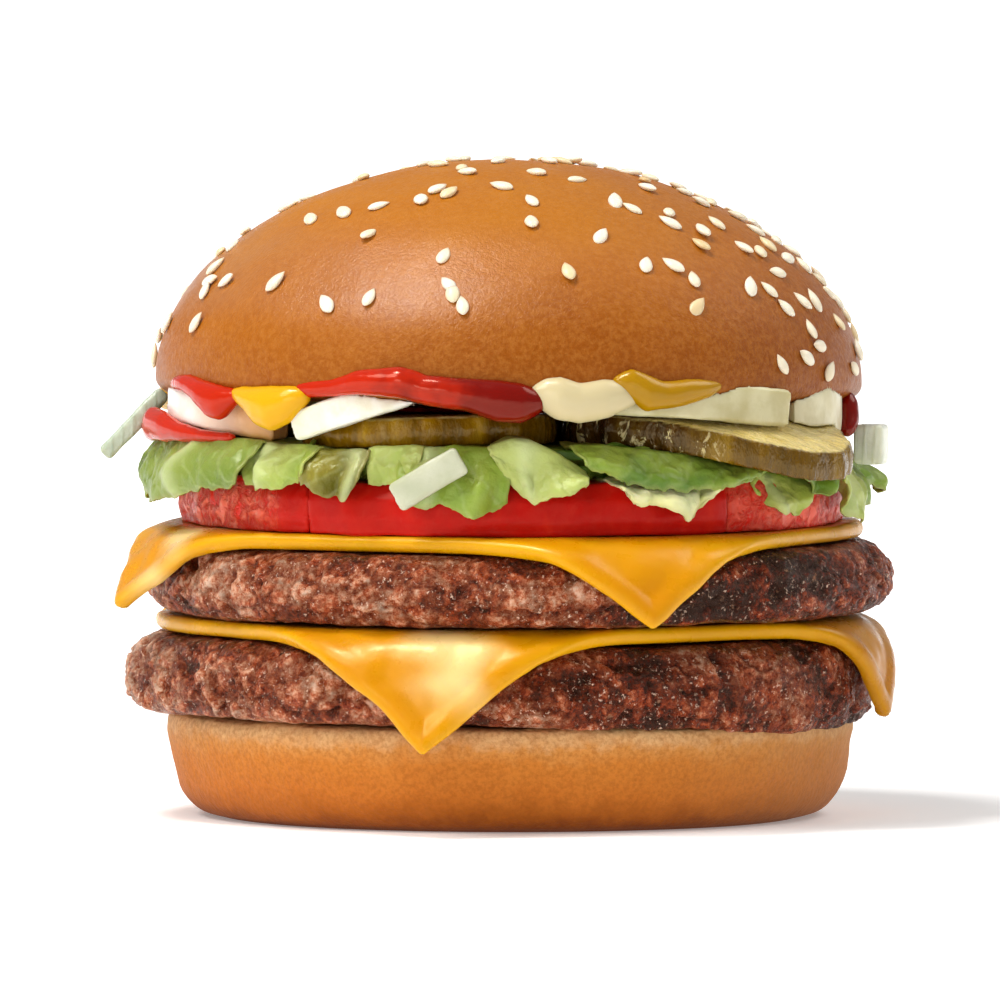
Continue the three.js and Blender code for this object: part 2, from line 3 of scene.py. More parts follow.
import bpy
import numpy as np
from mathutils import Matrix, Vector


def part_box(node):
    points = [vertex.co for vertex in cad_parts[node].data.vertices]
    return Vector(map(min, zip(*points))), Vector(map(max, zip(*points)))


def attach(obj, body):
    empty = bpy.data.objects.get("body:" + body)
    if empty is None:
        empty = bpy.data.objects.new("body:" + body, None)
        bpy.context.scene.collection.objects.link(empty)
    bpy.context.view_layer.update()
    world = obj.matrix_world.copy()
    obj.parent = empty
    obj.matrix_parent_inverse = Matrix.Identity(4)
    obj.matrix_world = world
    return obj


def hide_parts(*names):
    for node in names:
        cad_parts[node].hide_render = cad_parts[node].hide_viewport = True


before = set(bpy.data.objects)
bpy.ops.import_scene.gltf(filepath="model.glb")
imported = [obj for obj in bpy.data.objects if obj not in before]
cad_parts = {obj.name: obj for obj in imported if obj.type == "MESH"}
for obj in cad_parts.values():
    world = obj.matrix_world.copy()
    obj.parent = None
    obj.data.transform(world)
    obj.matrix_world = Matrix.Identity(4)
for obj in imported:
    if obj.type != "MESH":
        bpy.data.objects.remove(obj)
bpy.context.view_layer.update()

# The looks of a double cheeseburger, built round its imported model. Lengths are in millimetres until
# a mesh is made. Azimuths are in degrees: 0 is the front (-Y), and they grow towards +X.
MM = 0.001
TAU = 2 * math.pi


def box(node):
    low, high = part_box(node)
    return np.array(low) / MM, np.array(high) / MM


def middle_of(node):
    low, high = box(node)
    return (low + high) / 2


# ---- Places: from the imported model, with the few sizes that its boxes do not give ----
CROWN_LOW, CROWN_HIGH = box("bun_crown")
AXIS = np.array([(CROWN_LOW[0] + CROWN_HIGH[0]) / 2 - 0.3, (CROWN_LOW[1] + CROWN_HIGH[1]) / 2 - 0.2, 0])
BED_Z = box("lettuce_bed")[0][2]
TIP = math.radians(2.2)  # the toppings and the crown slope up towards the front
ONION_Z = BED_Z + 7.9  # the level of the onions over the middle, before they are tipped
CROWN_Z = BED_Z + 9.3  # the underside of the crown over the middle, before it is tipped
CROWN_R = 51.4
CROWN_HEIGHT = CROWN_HIGH[2] - CROWN_Z
LIP = 2.9
ROUNDNESS = 1.93
DOME = CROWN_HEIGHT + 0.6 - LIP  # the dome's rise over the crown's widest level


def around(radius, azimuth, z):
    a = np.radians(azimuth)
    return np.stack(np.broadcast_arrays(radius * np.sin(a), -radius * np.cos(a), z), -1) + AXIS


def tipped(points):
    """Turns points about the X axis at the lettuce, as the layers above it lie."""
    p = np.array(points, float)
    y = p[..., 1] - AXIS[1]
    z = p[..., 2] - BED_Z
    p[..., 1] = y * math.cos(TIP) + z * math.sin(TIP) + AXIS[1]
    p[..., 2] = z * math.cos(TIP) - y * math.sin(TIP) + BED_Z
    return p


def smooth(x, low=0.0, high=1.0):
    t = np.clip((x - low) / (high - low), 0, 1)
    return t * t * (3 - 2 * t)


def curve(knots, count):
    """A smooth line of `count` points through a few knots (Catmull-Rom)."""
    knots = np.array(knots, float)
    ends = np.concatenate([[2 * knots[0] - knots[1]], knots, [2 * knots[-1] - knots[-2]]])
    place = np.linspace(0, len(knots) - 1, count)
    i = np.minimum(place.astype(int), len(knots) - 2)
    t = (place - i)[:, None]
    a, b, c, d = ends[i], ends[i + 1], ends[i + 2], ends[i + 3]
    return 0.5 * (2 * b + (c - a) * t + (2 * a - 5 * b + 4 * c - d) * t**2 + (3 * b - a - 3 * c + d) * t**3)


def uneven(size, seed):
    """The slow waves of a round outline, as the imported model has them."""

    def outline(angle):
        return 1 + size * (
            0.5 * np.cos(2 * angle + seed)
            + 0.35 * np.cos(3 * angle + 2.3 * seed)
            + 0.25 * np.cos(5 * angle + 4.1 * seed)
            + 0.15 * np.cos(8 * angle + 5.7 * seed)
        )

    return outline


# ---- Noise ----
def hashed(cell, seed):
    """A repeatable number from 0 to 1 for each whole-number cell."""
    h = cell[..., 0] * 73856093 ^ cell[..., 1] * 19349663 ^ cell[..., 2] * 83492791
    h = (h ^ (seed * 668265263)) & 0xFFFFFFFF
    h = ((h ^ (h >> 15)) * 2246822519) & 0xFFFFFFFF
    h = ((h ^ (h >> 13)) * 3266489917) & 0xFFFFFFFF
    return (h & 0xFFFFFF) / 0xFFFFFF


def noise(points, size, seed=0):
    """Smooth noise, about -1 to 1, that changes over `size` (a length, or one for each axis)."""
    p = points / np.array(size, float)
    base = np.floor(p).astype(np.int64)
    t = p - base
    fade = t * t * t * (t * (t * 6 - 15) + 10)
    total = np.zeros(len(p))
    for corner in np.ndindex(2, 2, 2):
        offset = np.array(corner)
        weight = np.prod(np.where(offset, fade, 1 - fade), -1)
        away = t - offset
        cell = base + offset
        slope = sum((hashed(cell, seed * 3 + k + 1) * 2 - 1) * away[:, k] for k in range(3))
        total += weight * slope
    return total * 1.6


def octaves(points, size, seed=0, count=3):
    size = np.array(size, float)
    return sum(noise(points, size / 2**k, seed + 7 * k) / 2**k for k in range(count)) / 1.5


def cells(points, size, seed=0):
    """Distances to the nearest and second nearest of scattered points, one in each cell."""
    p = points / np.array(size, float)
    base = np.floor(p).astype(np.int64)
    nearest = np.full(len(p), 9.0)
    second = np.full(len(p), 9.0)
    for step in np.ndindex(3, 3, 3):
        cell = base + np.array(step) - 1
        spot = np.stack([hashed(cell, seed * 3 + k + 101) for k in range(3)], -1)
        d = np.sqrt(np.sum((cell + spot - p) ** 2, -1))
        second = np.minimum(second, np.maximum(nearest, d))
        nearest = np.minimum(nearest, d)
    return nearest, second


# ---- Meshes ----
def make(name, points, faces, marks=None):
    """A smooth mesh object from points in millimetres, with named numbers (marks) on its points."""
    mesh = bpy.data.meshes.new(name)
    mesh.from_pydata((np.asarray(points) * MM).tolist(), [], [list(f) for f in faces])
    mesh.polygons.foreach_set("use_smooth", [True] * len(mesh.polygons))
    for key, values in (marks or {}).items():
        mesh.attributes.new(key, "FLOAT", "POINT").data.foreach_set("value", np.float32(values))
    mesh.update()
    obj = bpy.data.objects.new(name, mesh)
    bpy.context.scene.collection.objects.link(obj)
    return obj


def points_of(obj):
    co = np.zeros(len(obj.data.vertices) * 3, np.float32)
    obj.data.vertices.foreach_get("co", co)
    return co.reshape(-1, 3).astype(float) / MM


def normals_of(obj):
    n = np.zeros(len(obj.data.vertices) * 3, np.float32)
    obj.data.vertex_normals.foreach_get("vector", n)
    return n.reshape(-1, 3).astype(float)


def move_to(obj, points):
    obj.data.vertices.foreach_set("co", np.float32(np.asarray(points) * MM).ravel())
    obj.data.update()


def mark(obj, key, values):
    attribute = obj.data.attributes.get(key) or obj.data.attributes.new(key, "FLOAT", "POINT")
    attribute.data.foreach_set("value", np.float32(values))


def grid_quads(rows, cols, wrap=False, base=0):
    i, k = np.meshgrid(np.arange(rows - 1), np.arange(cols if wrap else cols - 1), indexing="ij")
    a = base + i * cols + k
    b = base + i * cols + (k + 1) % cols
    return np.stack([a, b, b + cols, a + cols], -1).reshape(-1, 4)


def round_solid(name, profile, segments, outline=None, lift=None, marks=None):
    """A closed round solid through rings of (radius, height), from its underside to its top."""
    profile = np.array(profile, float)
    angles = np.arange(segments) * TAU / segments
    scale = outline(angles) if outline else np.ones(segments)
    r = profile[:, :1] * scale
    z = np.broadcast_to(profile[:, 1:], r.shape)
    points = np.stack([r * np.cos(angles), r * np.sin(angles), z], -1)
    if lift:
        points = lift(points)
    rings = len(profile)
    ends = [points[0].mean(0), points[-1].mean(0)]
    flat = np.concatenate([points.reshape(-1, 3), ends])
    faces = grid_quads(rings, segments, wrap=True).tolist()
    below, above = len(flat) - 2, len(flat) - 1
    last = (rings - 1) * segments
    for k in range(segments):
        after = (k + 1) % segments
        faces.append([below, after, k])
        faces.append([above, last + k, last + after])
    return make(name, flat, faces, marks)


def across_sheet(middle):
    normal = np.cross(np.gradient(middle, axis=0), np.gradient(middle, axis=1))
    return normal / (np.linalg.norm(normal, axis=-1, keepdims=True) + 1e-9)


def both_sides(middle, half):
    """The points of a sheet's two sides: middle is a grid of points, half its half thickness."""
    out = across_sheet(middle) * half
    return np.concatenate([(middle + out).reshape(-1, 3), (middle - out).reshape(-1, 3)])


def sheet_faces(rows, cols):
    """The faces over the two sides and round the edge of a sheet whose points are as both_sides gives."""
    count = rows * cols
    over = grid_quads(rows, cols)
    rim = np.concatenate(
        [
            np.arange(cols),
            np.arange(1, rows) * cols + cols - 1,
            (rows - 1) * cols + np.arange(cols - 2, -1, -1),
            np.arange(rows - 2, 0, -1) * cols,
        ]
    )
    after = np.roll(rim, -1)
    edge = np.stack([rim + count, after + count, after, rim], -1)
    return np.concatenate([over, over[:, ::-1] + count, edge])


def sheet_solid(name, middle, half, marks=None):
    """A closed sheet: middle is a grid of points, half its half thickness at each of them."""
    half = np.broadcast_to(np.asarray(half, float), middle.shape[:2])[..., None]
    doubled = {key: np.tile(np.asarray(v, float).ravel(), 2) for key, v in (marks or {}).items()}
    return make(name, both_sides(middle, half), sheet_faces(*middle.shape[:2]).tolist(), doubled)


def shaped(obj, name):
    """The mesh that an object's modifiers make, as a new smooth object."""
    graph = bpy.context.evaluated_depsgraph_get()
    mesh = bpy.data.meshes.new_from_object(obj.evaluated_get(graph))
    mesh.name = name
    mesh.polygons.foreach_set("use_smooth", [True] * len(mesh.polygons))
    old = obj.data
    bpy.data.objects.remove(obj)
    bpy.data.meshes.remove(old)
    out = bpy.data.objects.new(name, mesh)
    bpy.context.scene.collection.objects.link(out)
    return out


def refined(source, name, voxel, rounding=4):
    """A finely divided copy of a closed mesh, with its edges rounded."""
    copy = bpy.data.objects.new(name + "_raw", source.data.copy())
    bpy.context.scene.collection.objects.link(copy)
    remesh = copy.modifiers.new("Remesh", "REMESH")
    remesh.mode = "VOXEL"
    remesh.voxel_size = voxel * MM
    soften = copy.modifiers.new("Soften", "SMOOTH")
    soften.factor = 0.6
    soften.iterations = rounding
    return shaped(copy, name)


def finish(obj, paint, slot, *nodes):
    obj.data.materials.clear()
    obj.data.materials.append(paint)
    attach(obj, "root")
    if nodes:
        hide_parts(*nodes)
    return obj


# ---- Materials ----
def linear(text):
    """A colour written as #rrggbb, as linear numbers."""
    parts = [int(text[i : i + 2], 16) / 255 for i in (1, 3, 5)]
    return [c / 12.92 if c <= 0.04045 else ((c + 0.055) / 1.055) ** 2.4 for c in parts] + [1]


class Paint:
    """Builds one procedural material in the object's own coordinates."""

    def __init__(self, name, **sockets):
        self.material = bpy.data.materials.new(name)
        self.material.use_nodes = True
        self.tree = self.material.node_tree
        self.shader = self.tree.nodes["Principled BSDF"]
        self.place = self.node("ShaderNodeTexCoord").outputs["Object"]
        for key, value in sockets.items():
            self.shader.inputs[key.replace("_", " ")].default_value = value

    def node(self, kind, **settings):
        made = self.tree.nodes.new(kind)
        for key, value in settings.items():
            setattr(made, key, value)
        return made

    def feed(self, socket, value):
        if isinstance(value, bpy.types.NodeSocket):
            self.tree.links.new(value, socket)
        else:
            socket.default_value = value

    def scaled(self, stretch):
        mapping = self.node("ShaderNodeMapping")
        self.feed(mapping.inputs["Vector"], self.place)
        mapping.inputs["Scale"].default_value = stretch
        return mapping.outputs["Vector"]

    def noise(self, size, detail=3.0, rough=0.55, stretch=None, twist=0.0):
        made = self.node("ShaderNodeTexNoise")
        self.feed(made.inputs["Vector"], self.scaled(stretch) if stretch else self.place)
        made.inputs["Scale"].default_value = 1 / (size * MM)
        made.inputs["Detail"].default_value = detail
        made.inputs["Roughness"].default_value = rough
        made.inputs["Distortion"].default_value = twist
        return made.outputs["Fac"]

    def cells(self, size):
        made = self.node("ShaderNodeTexVoronoi", feature="F1")
        self.feed(made.inputs["Vector"], self.place)
        made.inputs["Scale"].default_value = 1 / (size * MM)
        return made.outputs["Distance"]

    def mark(self, key):
        return self.node("ShaderNodeAttribute", attribute_name=key).outputs["Fac"]

    def axis(self, name):
        split = self.node("ShaderNodeSeparateXYZ")
        self.feed(split.inputs["Vector"], self.place)
        return split.outputs[name]

    def height(self):
        return self.axis("Z")

    def across(self):
        return self.axis("X")

    def span(self, value, low, high, start=0.0, end=1.0):
        made = self.node("ShaderNodeMapRange", interpolation_type="SMOOTHSTEP")
        self.feed(made.inputs["Value"], value)
        for key, number in zip(("From Min", "From Max", "To Min", "To Max"), (low, high, start, end)):
            made.inputs[key].default_value = number
        return made.outputs["Result"]

    def sum(self, operation, a, b=0.0):
        made = self.node("ShaderNodeMath", operation=operation)
        self.feed(made.inputs[0], a)
        self.feed(made.inputs[1], b)
        return made.outputs[0]

    def times(self, a, b):
        return self.sum("MULTIPLY", a, b)

    def mix(self, share, a, b):
        made = self.node("ShaderNodeMix", data_type="RGBA", blend_type="MIX")
        self.feed(made.inputs[0], share)
        self.feed(made.inputs[6], linear(a) if isinstance(a, str) else a)
        self.feed(made.inputs[7], linear(b) if isinstance(b, str) else b)
        return made.outputs[2]

    def over(self, base, mask, strength, colour):
        return self.mix(self.times(mask, strength), base, colour)

    def ramp(self, value, stops):
        made = self.node("ShaderNodeValToRGB")
        elements = made.color_ramp.elements
        for place, colour in stops[2:]:
            elements.new(place)
        for element, (place, colour) in zip(elements, stops):
            element.position = place
            element.color = linear(colour)
        self.feed(made.inputs["Fac"], value)
        return made.outputs["Color"]

    def colour(self, socket):
        self.feed(self.shader.inputs["Base Color"], socket)

    def rough(self, socket):
        self.feed(self.shader.inputs["Roughness"], socket)

    def bumps(self, *layers):
        """Each layer is a height and the depth in millimetres that it stands for."""
        normal = None
        for value, depth in layers:
            made = self.node("ShaderNodeBump")
            made.inputs["Strength"].default_value = 1
            made.inputs["Distance"].default_value = depth * MM
            self.feed(made.inputs["Height"], value)
            if normal:
                self.feed(made.inputs["Normal"], normal)
            normal = made.outputs["Normal"]
        self.feed(self.shader.inputs["Normal"], normal)
        self.feed(self.shader.inputs["Coat Normal"], normal)


def through(weight, reach, radius=(1.0, 0.4, 0.2)):
    """Sockets for light that spreads inside a food, over about `reach` millimetres."""
    return {
        "Subsurface_Weight": weight,
        "Subsurface_Scale": reach * MM,
        "Subsurface_Radius": radius,
    }


def crust_paint():
    paint = Paint(
        "crown_crust",
        Specular_IOR_Level=0.3,
        Specular_Tint=(1, 0.68, 0.38, 1),
        Coat_Roughness=0.3,
    )
    low, high = CROWN_LOW[2] * MM, CROWN_HIGH[2] * MM
    rise = paint.span(paint.height(), low, high)
    patches = paint.noise(26, 4, 0.55)
    specks = paint.noise(0.9, 3, 0.7)
    shade = paint.sum("ADD", paint.times(rise, 0.45), paint.times(patches, 0.6))
    base = paint.ramp(shade, [(0.15, "#7e3b05"), (0.38, "#8f4905"), (0.62, "#a85f06"), (0.9, "#b9720b")])
    # painted shade: the crust is painted darker brown towards the right side, away from the light
    sides = paint.span(paint.across(), -0.03, 0.055)
    base = paint.over(base, sides, 0.4, "#7d3907")
    grains = paint.span(specks, 0.35, 0.7)
    base = paint.over(base, grains, 0.3, "#c07d36")
    paint.colour(base)
    band = paint.times(paint.span(rise, 0.3, 0.52), paint.span(rise, 0.95, 0.75))
    gloss = paint.times(band, paint.span(paint.across(), 0.025, -0.012, 0.0, 0.75))
    paint.feed(paint.shader.inputs["Coat Weight"], gloss)
    paint.rough(paint.span(paint.noise(0.7, 2, 0.6), 0.3, 0.75, 0.34, 0.52))
    paint.bumps((paint.noise(0.5, 3, 0.7), 0.14), (paint.noise(2.2, 3, 0.6), 0.12), (patches, 0.4))
    return paint.material


def heel_paint():
    paint = Paint("heel_crust", Roughness=0.66, Specular_IOR_Level=0.3, Specular_Tint=(1, 0.75, 0.5, 1))
    top = box("bun_heel")[1][2] * MM
    rise = paint.sum("ADD", paint.height(), paint.span(paint.noise(4, 4, 0.65), 0.2, 0.8, -0.0012, 0.0012))
    grade = paint.span(rise, 0, top)
    base = paint.ramp(
        grade,
        [
            (0.0, "#8a430f"),
            (0.07, "#ac5c16"),
            (0.3, "#c67023"),
            (0.7, "#cc7b2c"),
            (0.88, "#d18c44"),
            (1, "#dfb07a"),
        ],
    )
    grains = paint.span(paint.noise(0.75, 3, 0.7), 0.35, 0.7)
    base = paint.over(base, grains, 0.5, "#9c5515")
    # painted light: the right side is painted a paler, greyer tan
    right = paint.span(paint.across(), 0.02, 0.05)
    base = paint.over(base, right, 0.25, "#b98c5a")
    paint.colour(base)
    paint.bumps((paint.noise(0.5, 3, 0.7), 0.16), (paint.cells(0.9), 0.12), (paint.noise(5, 3), 0.3))
    return paint.material


def beef_paint():
    paint = Paint("seared_beef", Specular_Tint=(1, 0.62, 0.42, 1), Coat_Weight=0.06, Coat_Roughness=0.1)
    relief = paint.mark("relief")
    sear = paint.noise(15, 3, 0.6, stretch=(1, 1, 1.4))
    grain = paint.noise(1.1, 6, 0.8)
    tone = paint.sum("ADD", paint.times(relief, 0.2), paint.times(sear, 0.55))
    tone = paint.sum("ADD", tone, paint.times(grain, 0.72))
    # painted shade: the beef is painted darker towards the right side
    right = paint.span(paint.across(), -0.03, 0.045, 0.025, 0.117)
    tone = paint.sum("SUBTRACT", tone, right)
    tone = paint.sum("ADD", tone, paint.span(paint.height(), 0.0295, 0.024, -0.006, 0.044))
    base = paint.ramp(
        tone,
        [
            (0.54, "#1d0502"),
            (0.6, "#561406"),
            (0.65, "#92300f"),
            (0.71, "#bd562c"),
            (0.77, "#e69a72"),
            (0.85, "#ffd3b6"),
        ],
    )
    # painted shade: crevices and hollows are painted a dark brown
    base = paint.over(base, paint.mark("crevice"), 0.55, "#2b0d04")
    fat = paint.span(paint.noise(1.5, 5, 0.75), 0.6, 0.68)
    base = paint.over(base, fat, 0.4, "#e0a880")
    # painted glints: small pale spots painted on the beef as highlights
    juice = paint.span(paint.noise(0.6, 3, 0.7), 0.6, 0.66)
    wet = paint.times(juice, paint.span(paint.noise(4, 2), 0.36, 0.55))
    base = paint.over(base, wet, 0.9, "#ffdcc2")
    paint.colour(base)
    paint.rough(paint.span(paint.noise(0.8, 4, 0.75), 0.4, 0.58, 0.08, 0.5))
    paint.bumps((paint.noise(0.4, 4, 0.8), 0.28), (grain, 0.6))
    return paint.material


def cheese_paint():
    paint = Paint(
        "melted_cheese",
        Specular_IOR_Level=0.45,
        Specular_Tint=(1, 0.8, 0.38, 1),
        Coat_Weight=0.04,
        Coat_Roughness=0.25,
        **through(0.2, 2, (1, 0.5, 0.02)),
    )
    patches = paint.noise(16, 2)
    base = paint.ramp(patches, [(0.3, "#cf8500"), (0.55, "#d48f00"), (0.75, "#dc9b00")])
    # painted light: the rounded rim is painted a brighter yellow, as light shows through the thin edge
    edge = paint.mark("edge")
    base = paint.over(base, edge, 0.6, "#e4aa02")
    # painted shade: the cheese is painted darker orange towards the right side
    base = paint.mix(paint.span(paint.across(), 0.035, 0.056, 0, 0.5), base, "#9c5c00")
    # painted highlight: a pale patch painted where a broad highlight falls
    base = paint.mix(paint.mark("bloom"), base, "#ffe9a6")
    paint.colour(base)
    paint.rough(paint.span(paint.noise(3, 3), 0.3, 0.7, 0.24, 0.4))
    paint.bumps((paint.noise(1.2, 2), 0.03), (paint.noise(7, 2), 0.15))
    return paint.material


def tomato_paint(name, near, far, start, end):
    """The share of cut, pitted flesh goes from start at X = near to end at X = far (millimetres)."""
    paint = Paint(
        name,
        Roughness=0.3,
        Specular_IOR_Level=0.22,
        Specular_Tint=(1, 0.5, 0.4, 1),
        **through(0.2, 2.5, (1, 0.15, 0.08)),
    )
    streaks = paint.noise(4, 4, 0.6, stretch=(1, 1, 0.5))
    skin = paint.ramp(streaks, [(0.3, "#ae0b06"), (0.55, "#bb0f09"), (0.75, "#c6210f")])
    pits = paint.span(paint.noise(2.1, 5, 0.7, twist=0.8), 0.38, 0.58)
    cut = paint.mix(pits, "#f6301a", "#ff7558")
    cut = paint.mix(paint.span(paint.noise(1.1, 3), 0.56, 0.7, 0, 0.6), cut, "#ffa78e")
    shift = paint.span(paint.noise(5, 3), 0.3, 0.7, -0.003, 0.003)
    share = paint.span(paint.sum("ADD", paint.across(), shift), near * MM, far * MM, start, end)
    paint.colour(paint.mix(share, skin, cut))
    paint.bumps((paint.noise(6, 2), 0.15), (paint.times(pits, share), 0.4))
    return paint.material


def leaf_paint(name, pale, fresh):
    """Pale and fresh are the leaf's two greens; ribs and veins come from the marks on the mesh."""
    paint = Paint(name, Roughness=0.36, Specular_Tint=(0.9, 1, 0.7, 1), **through(0.2, 1.2, (0.6, 1, 0.2)))
    tone = paint.mark("tone")
    mottled = paint.sum("ADD", paint.times(tone, 0.75), paint.times(paint.noise(5, 4), 0.5))
    base = paint.mix(paint.span(mottled, 0.2, 0.9), fresh, pale)
    base = paint.over(base, paint.mark("rib"), 0.55, "#c3cc96")
    base = paint.over(base, paint.mark("edge"), 0.4, "#b7a96a")
    paint.colour(base)
    paint.bumps((paint.noise(0.7, 3, 0.6), 0.08), (paint.noise(2.4, 3, 0.55), 0.35))
    return paint.material


def pickle_paint(name, dark):
    """dark is how brown and deep the glossy skin at the side is, from 0 to 1, and how strong the glints
    painted on it are.
    """
    paint = Paint(
        name,
        Specular_Tint=(1, 0.85, 0.5, 1),
        Coat_Weight=0.12 * dark,
        Coat_Roughness=0.08,
        **through(0.25, 2, (0.9, 0.7, 0.1)),
    )
    stripes = paint.noise(3.2, 3, 0.6, stretch=(1, 1, 0.14))
    side = paint.ramp(stripes, [(0.3, "#5c3f01"), (0.45, "#875f03"), (0.58, "#a17605"), (0.74, "#c09514")])
    brown = paint.ramp(stripes, [(0.3, "#2a1502"), (0.55, "#4c2e06"), (0.75, "#70500f")])
    shift = paint.span(paint.noise(6, 2), 0.3, 0.7, -0.003, 0.003)
    left = paint.span(paint.sum("ADD", paint.across(), shift), 0.036, 0.024)
    side = paint.mix(0.6 * dark, side, "#3f2800")
    side = paint.over(side, left, dark, brown)
    # painted glints: pale spots painted on the dark skin as highlights
    drops = paint.span(paint.noise(1.9, 4, 0.7, stretch=(1, 1, 0.55), twist=0.6), 0.56, 0.64)
    glints = paint.times(drops, paint.span(paint.across(), 0.035, 0.027, 0, 0.85 * dark))
    side = paint.mix(glints, side, "#f4e3a8")
    face = paint.ramp(paint.noise(4, 3), [(0.3, "#d2b968"), (0.6, "#dcc884"), (0.8, "#bea448")])
    base = paint.mix(paint.mark("face"), side, face)
    paint.colour(base)
    wrinkles = paint.noise(2.4, 4, 0.65, stretch=(1, 1, 0.4))
    paint.rough(paint.span(wrinkles, 0.35, 0.7, 0.1, 0.32))
    paint.bumps((paint.noise(0.8, 3, 0.6), 0.1), (wrinkles, 0.45 + 0.5 * dark))
    return paint.material


def onion_paint(name, pale, deep, far=None):
    """far is the colour of its right end, where it differs: a warm painted shade."""
    paint = Paint(name, Roughness=0.28, **through(0.4, 2.5, (1, 0.9, 0.7)))
    lines = paint.mark("lines")
    base = paint.mix(paint.times(lines, 0.5), pale, deep)
    base = paint.mix(paint.span(paint.noise(4, 3), 0.35, 0.7, 0, 0.7), base, deep)
    # painted shade: the right end turns to the far colour
    if far:
        base = paint.mix(paint.span(paint.across(), -0.046, -0.034), base, far)
    paint.colour(base)
    paint.bumps((paint.noise(0.5, 2, 0.6), 0.05), (lines, 0.08))
    return paint.material


def sauce_paint(name, left, right, tint, weight, reach, radius, rough):
    """left and right are its colours at the two sides, a darker right colour being painted shade; tint that
    of its gloss.
    """
    paint = Paint(name, Roughness=rough, Specular_Tint=tint, **through(weight, reach, radius))
    # painted shade: the colour turns from left to right across the middle, darker on the right for ketchup
    # and mustard
    shift = paint.span(paint.noise(7, 3, 0.5), 0.3, 0.7, -0.006, 0.006)
    share = paint.span(paint.sum("ADD", paint.across(), shift), -0.018, -0.004)
    base = paint.mix(share, left, right)
    paint.colour(base)
    paint.bumps((paint.noise(2.2, 2, 0.5), 0.04), (paint.noise(5, 2), 0.14))
    return paint.material


def sesame_paint():
    inside = through(0.3, 1.2, (1, 0.8, 0.5))
    paint = Paint("sesame", Roughness=0.42, Coat_Weight=0.15, Coat_Roughness=0.3, **inside)
    each = paint.mark("each")
    base = paint.ramp(each, [(0.0, "#f0e6d0"), (0.6, "#ebdcbf"), (0.85, "#e2cda2"), (1, "#cfae75")])
    base = paint.over(base, paint.mark("tipped_end"), 0.45, "#b07c35")
    paint.colour(base)
    paint.bumps((paint.noise(0.4, 2), 0.03))
    return paint.material


# ---- The bun ----
def crown_profile(steps_dome=110, steps_lip=22):
    rings = [(r, 0.0) for r in (8, 18, 28, 36, 42, 45)]
    inner = 46.2
    for i in range(steps_lip):
        a = math.pi / 2 * i / steps_lip
        rings.append((inner + (CROWN_R - inner) * math.sin(a), LIP * (1 - math.cos(a))))
    for i in range(steps_dome):
        a = math.pi / 2 * i / steps_dome
        r = CROWN_R * math.cos(a) ** (2 / ROUNDNESS)
        z = LIP + DOME * math.sin(a) ** (2 / ROUNDNESS)
        rings.append((r, z))
    return rings


def on_crown(points):
    """Puts points of the crown's own frame in place."""
    roll = math.radians(0.6)
    p = np.array(points, float)
    x, z = p[..., 0].copy(), p[..., 2].copy()
    p[..., 0] = x * math.cos(roll) + z * math.sin(roll)
    p[..., 2] = z * math.cos(roll) - x * math.sin(roll) + CROWN_Z
    return tipped(p + AXIS)


def crown():
    obj = round_solid("crown", crown_profile(), 300, uneven(0.006, 2.6), on_crown)
    p, n = points_of(obj), normals_of(obj)
    side = smooth(n[:, 2], -0.6, 0.1)[:, None]
    swell = octaves(p, 22, 3)[:, None] * 0.45 + octaves(p, 6, 5)[:, None] * 0.08
    grain = octaves(p, 1.1, 9, 2)[:, None] * 0.035
    move_to(obj, p + n * (swell + grain) * side)
    return finish(obj, crust_paint(), "crust", "bun_crown")


def heel():
    low, high = box("bun_heel")
    centre = (low + high) / 2
    top = high[2]
    side = [(42, 0), (45, 0.9), (47, 3), (48.3, 6.4), (49.2, 10.5), (49.6, 13.2), (49.2, 14.7), (48, top)]
    rings = [(r, 0.0) for r in (10, 22, 32, 38)] + curve(side, 76).tolist()
    rings += [(r, top) for r in (44, 38, 30, 20, 10)]
    place = lambda p: p + np.array([centre[0], centre[1], 0])
    obj = round_solid("heel", rings, 300, uneven(0.008, 1), place)
    p, n = points_of(obj), normals_of(obj)
    side = (1 - smooth(-n[:, 2], 0.2, 0.8))[:, None]
    swell = octaves(p, (18, 18, 9), 13)[:, None] * 0.55 + octaves(p, 3.2, 15)[:, None] * 0.14
    grain = octaves(p, 0.9, 19, 2)[:, None] * 0.05
    move_to(obj, p + n * (swell + grain) * side)
    return finish(obj, heel_paint(), "heel_crust", "bun_heel")


SEEDS = 215
SEED_GAP = 3.4  # the least distance between a scattered seed and the ones placed just before it
SEED_LONG, SEED_HALF_WIDE, SEED_HALF_THICK = 3.2, 0.88, 0.46
SEED_LIFT = 0.3  # how far the middle of a seed stands off the crust


def seed_shape():
    """One sesame seed along +X, lying on the XY plane: points, faces and how near each is to its tip."""
    rings, sides = 9, 10
    points, tipness = [], []
    for i in range(rings):
        t = (i + 0.5) / rings
        wide = math.sin(math.pi * t ** 0.8) ** 0.75
        for k in range(sides):
            a = TAU * k / sides
            side = SEED_HALF_WIDE * wide * math.cos(a)
            rise = SEED_HALF_THICK * wide * math.sin(a) + SEED_LIFT
            points.append([(t - 0.5) * SEED_LONG, side, rise])
            tipness.append(max(0.0, t - 0.75) * 4)
    points += [[-1.62, 0, SEED_LIFT], [1.66, 0, SEED_LIFT]]
    tipness += [0.0, 1.0]
    faces = grid_quads(rings, sides, wrap=True).tolist()
    first, last = len(points) - 2, len(points) - 1
    for k in range(sides):
        after = (k + 1) % sides
        faces.append([first, after, k])
        faces.append([last, (rings - 1) * sides + k, (rings - 1) * sides + after])
    return np.array(points), faces, np.array(tipness)


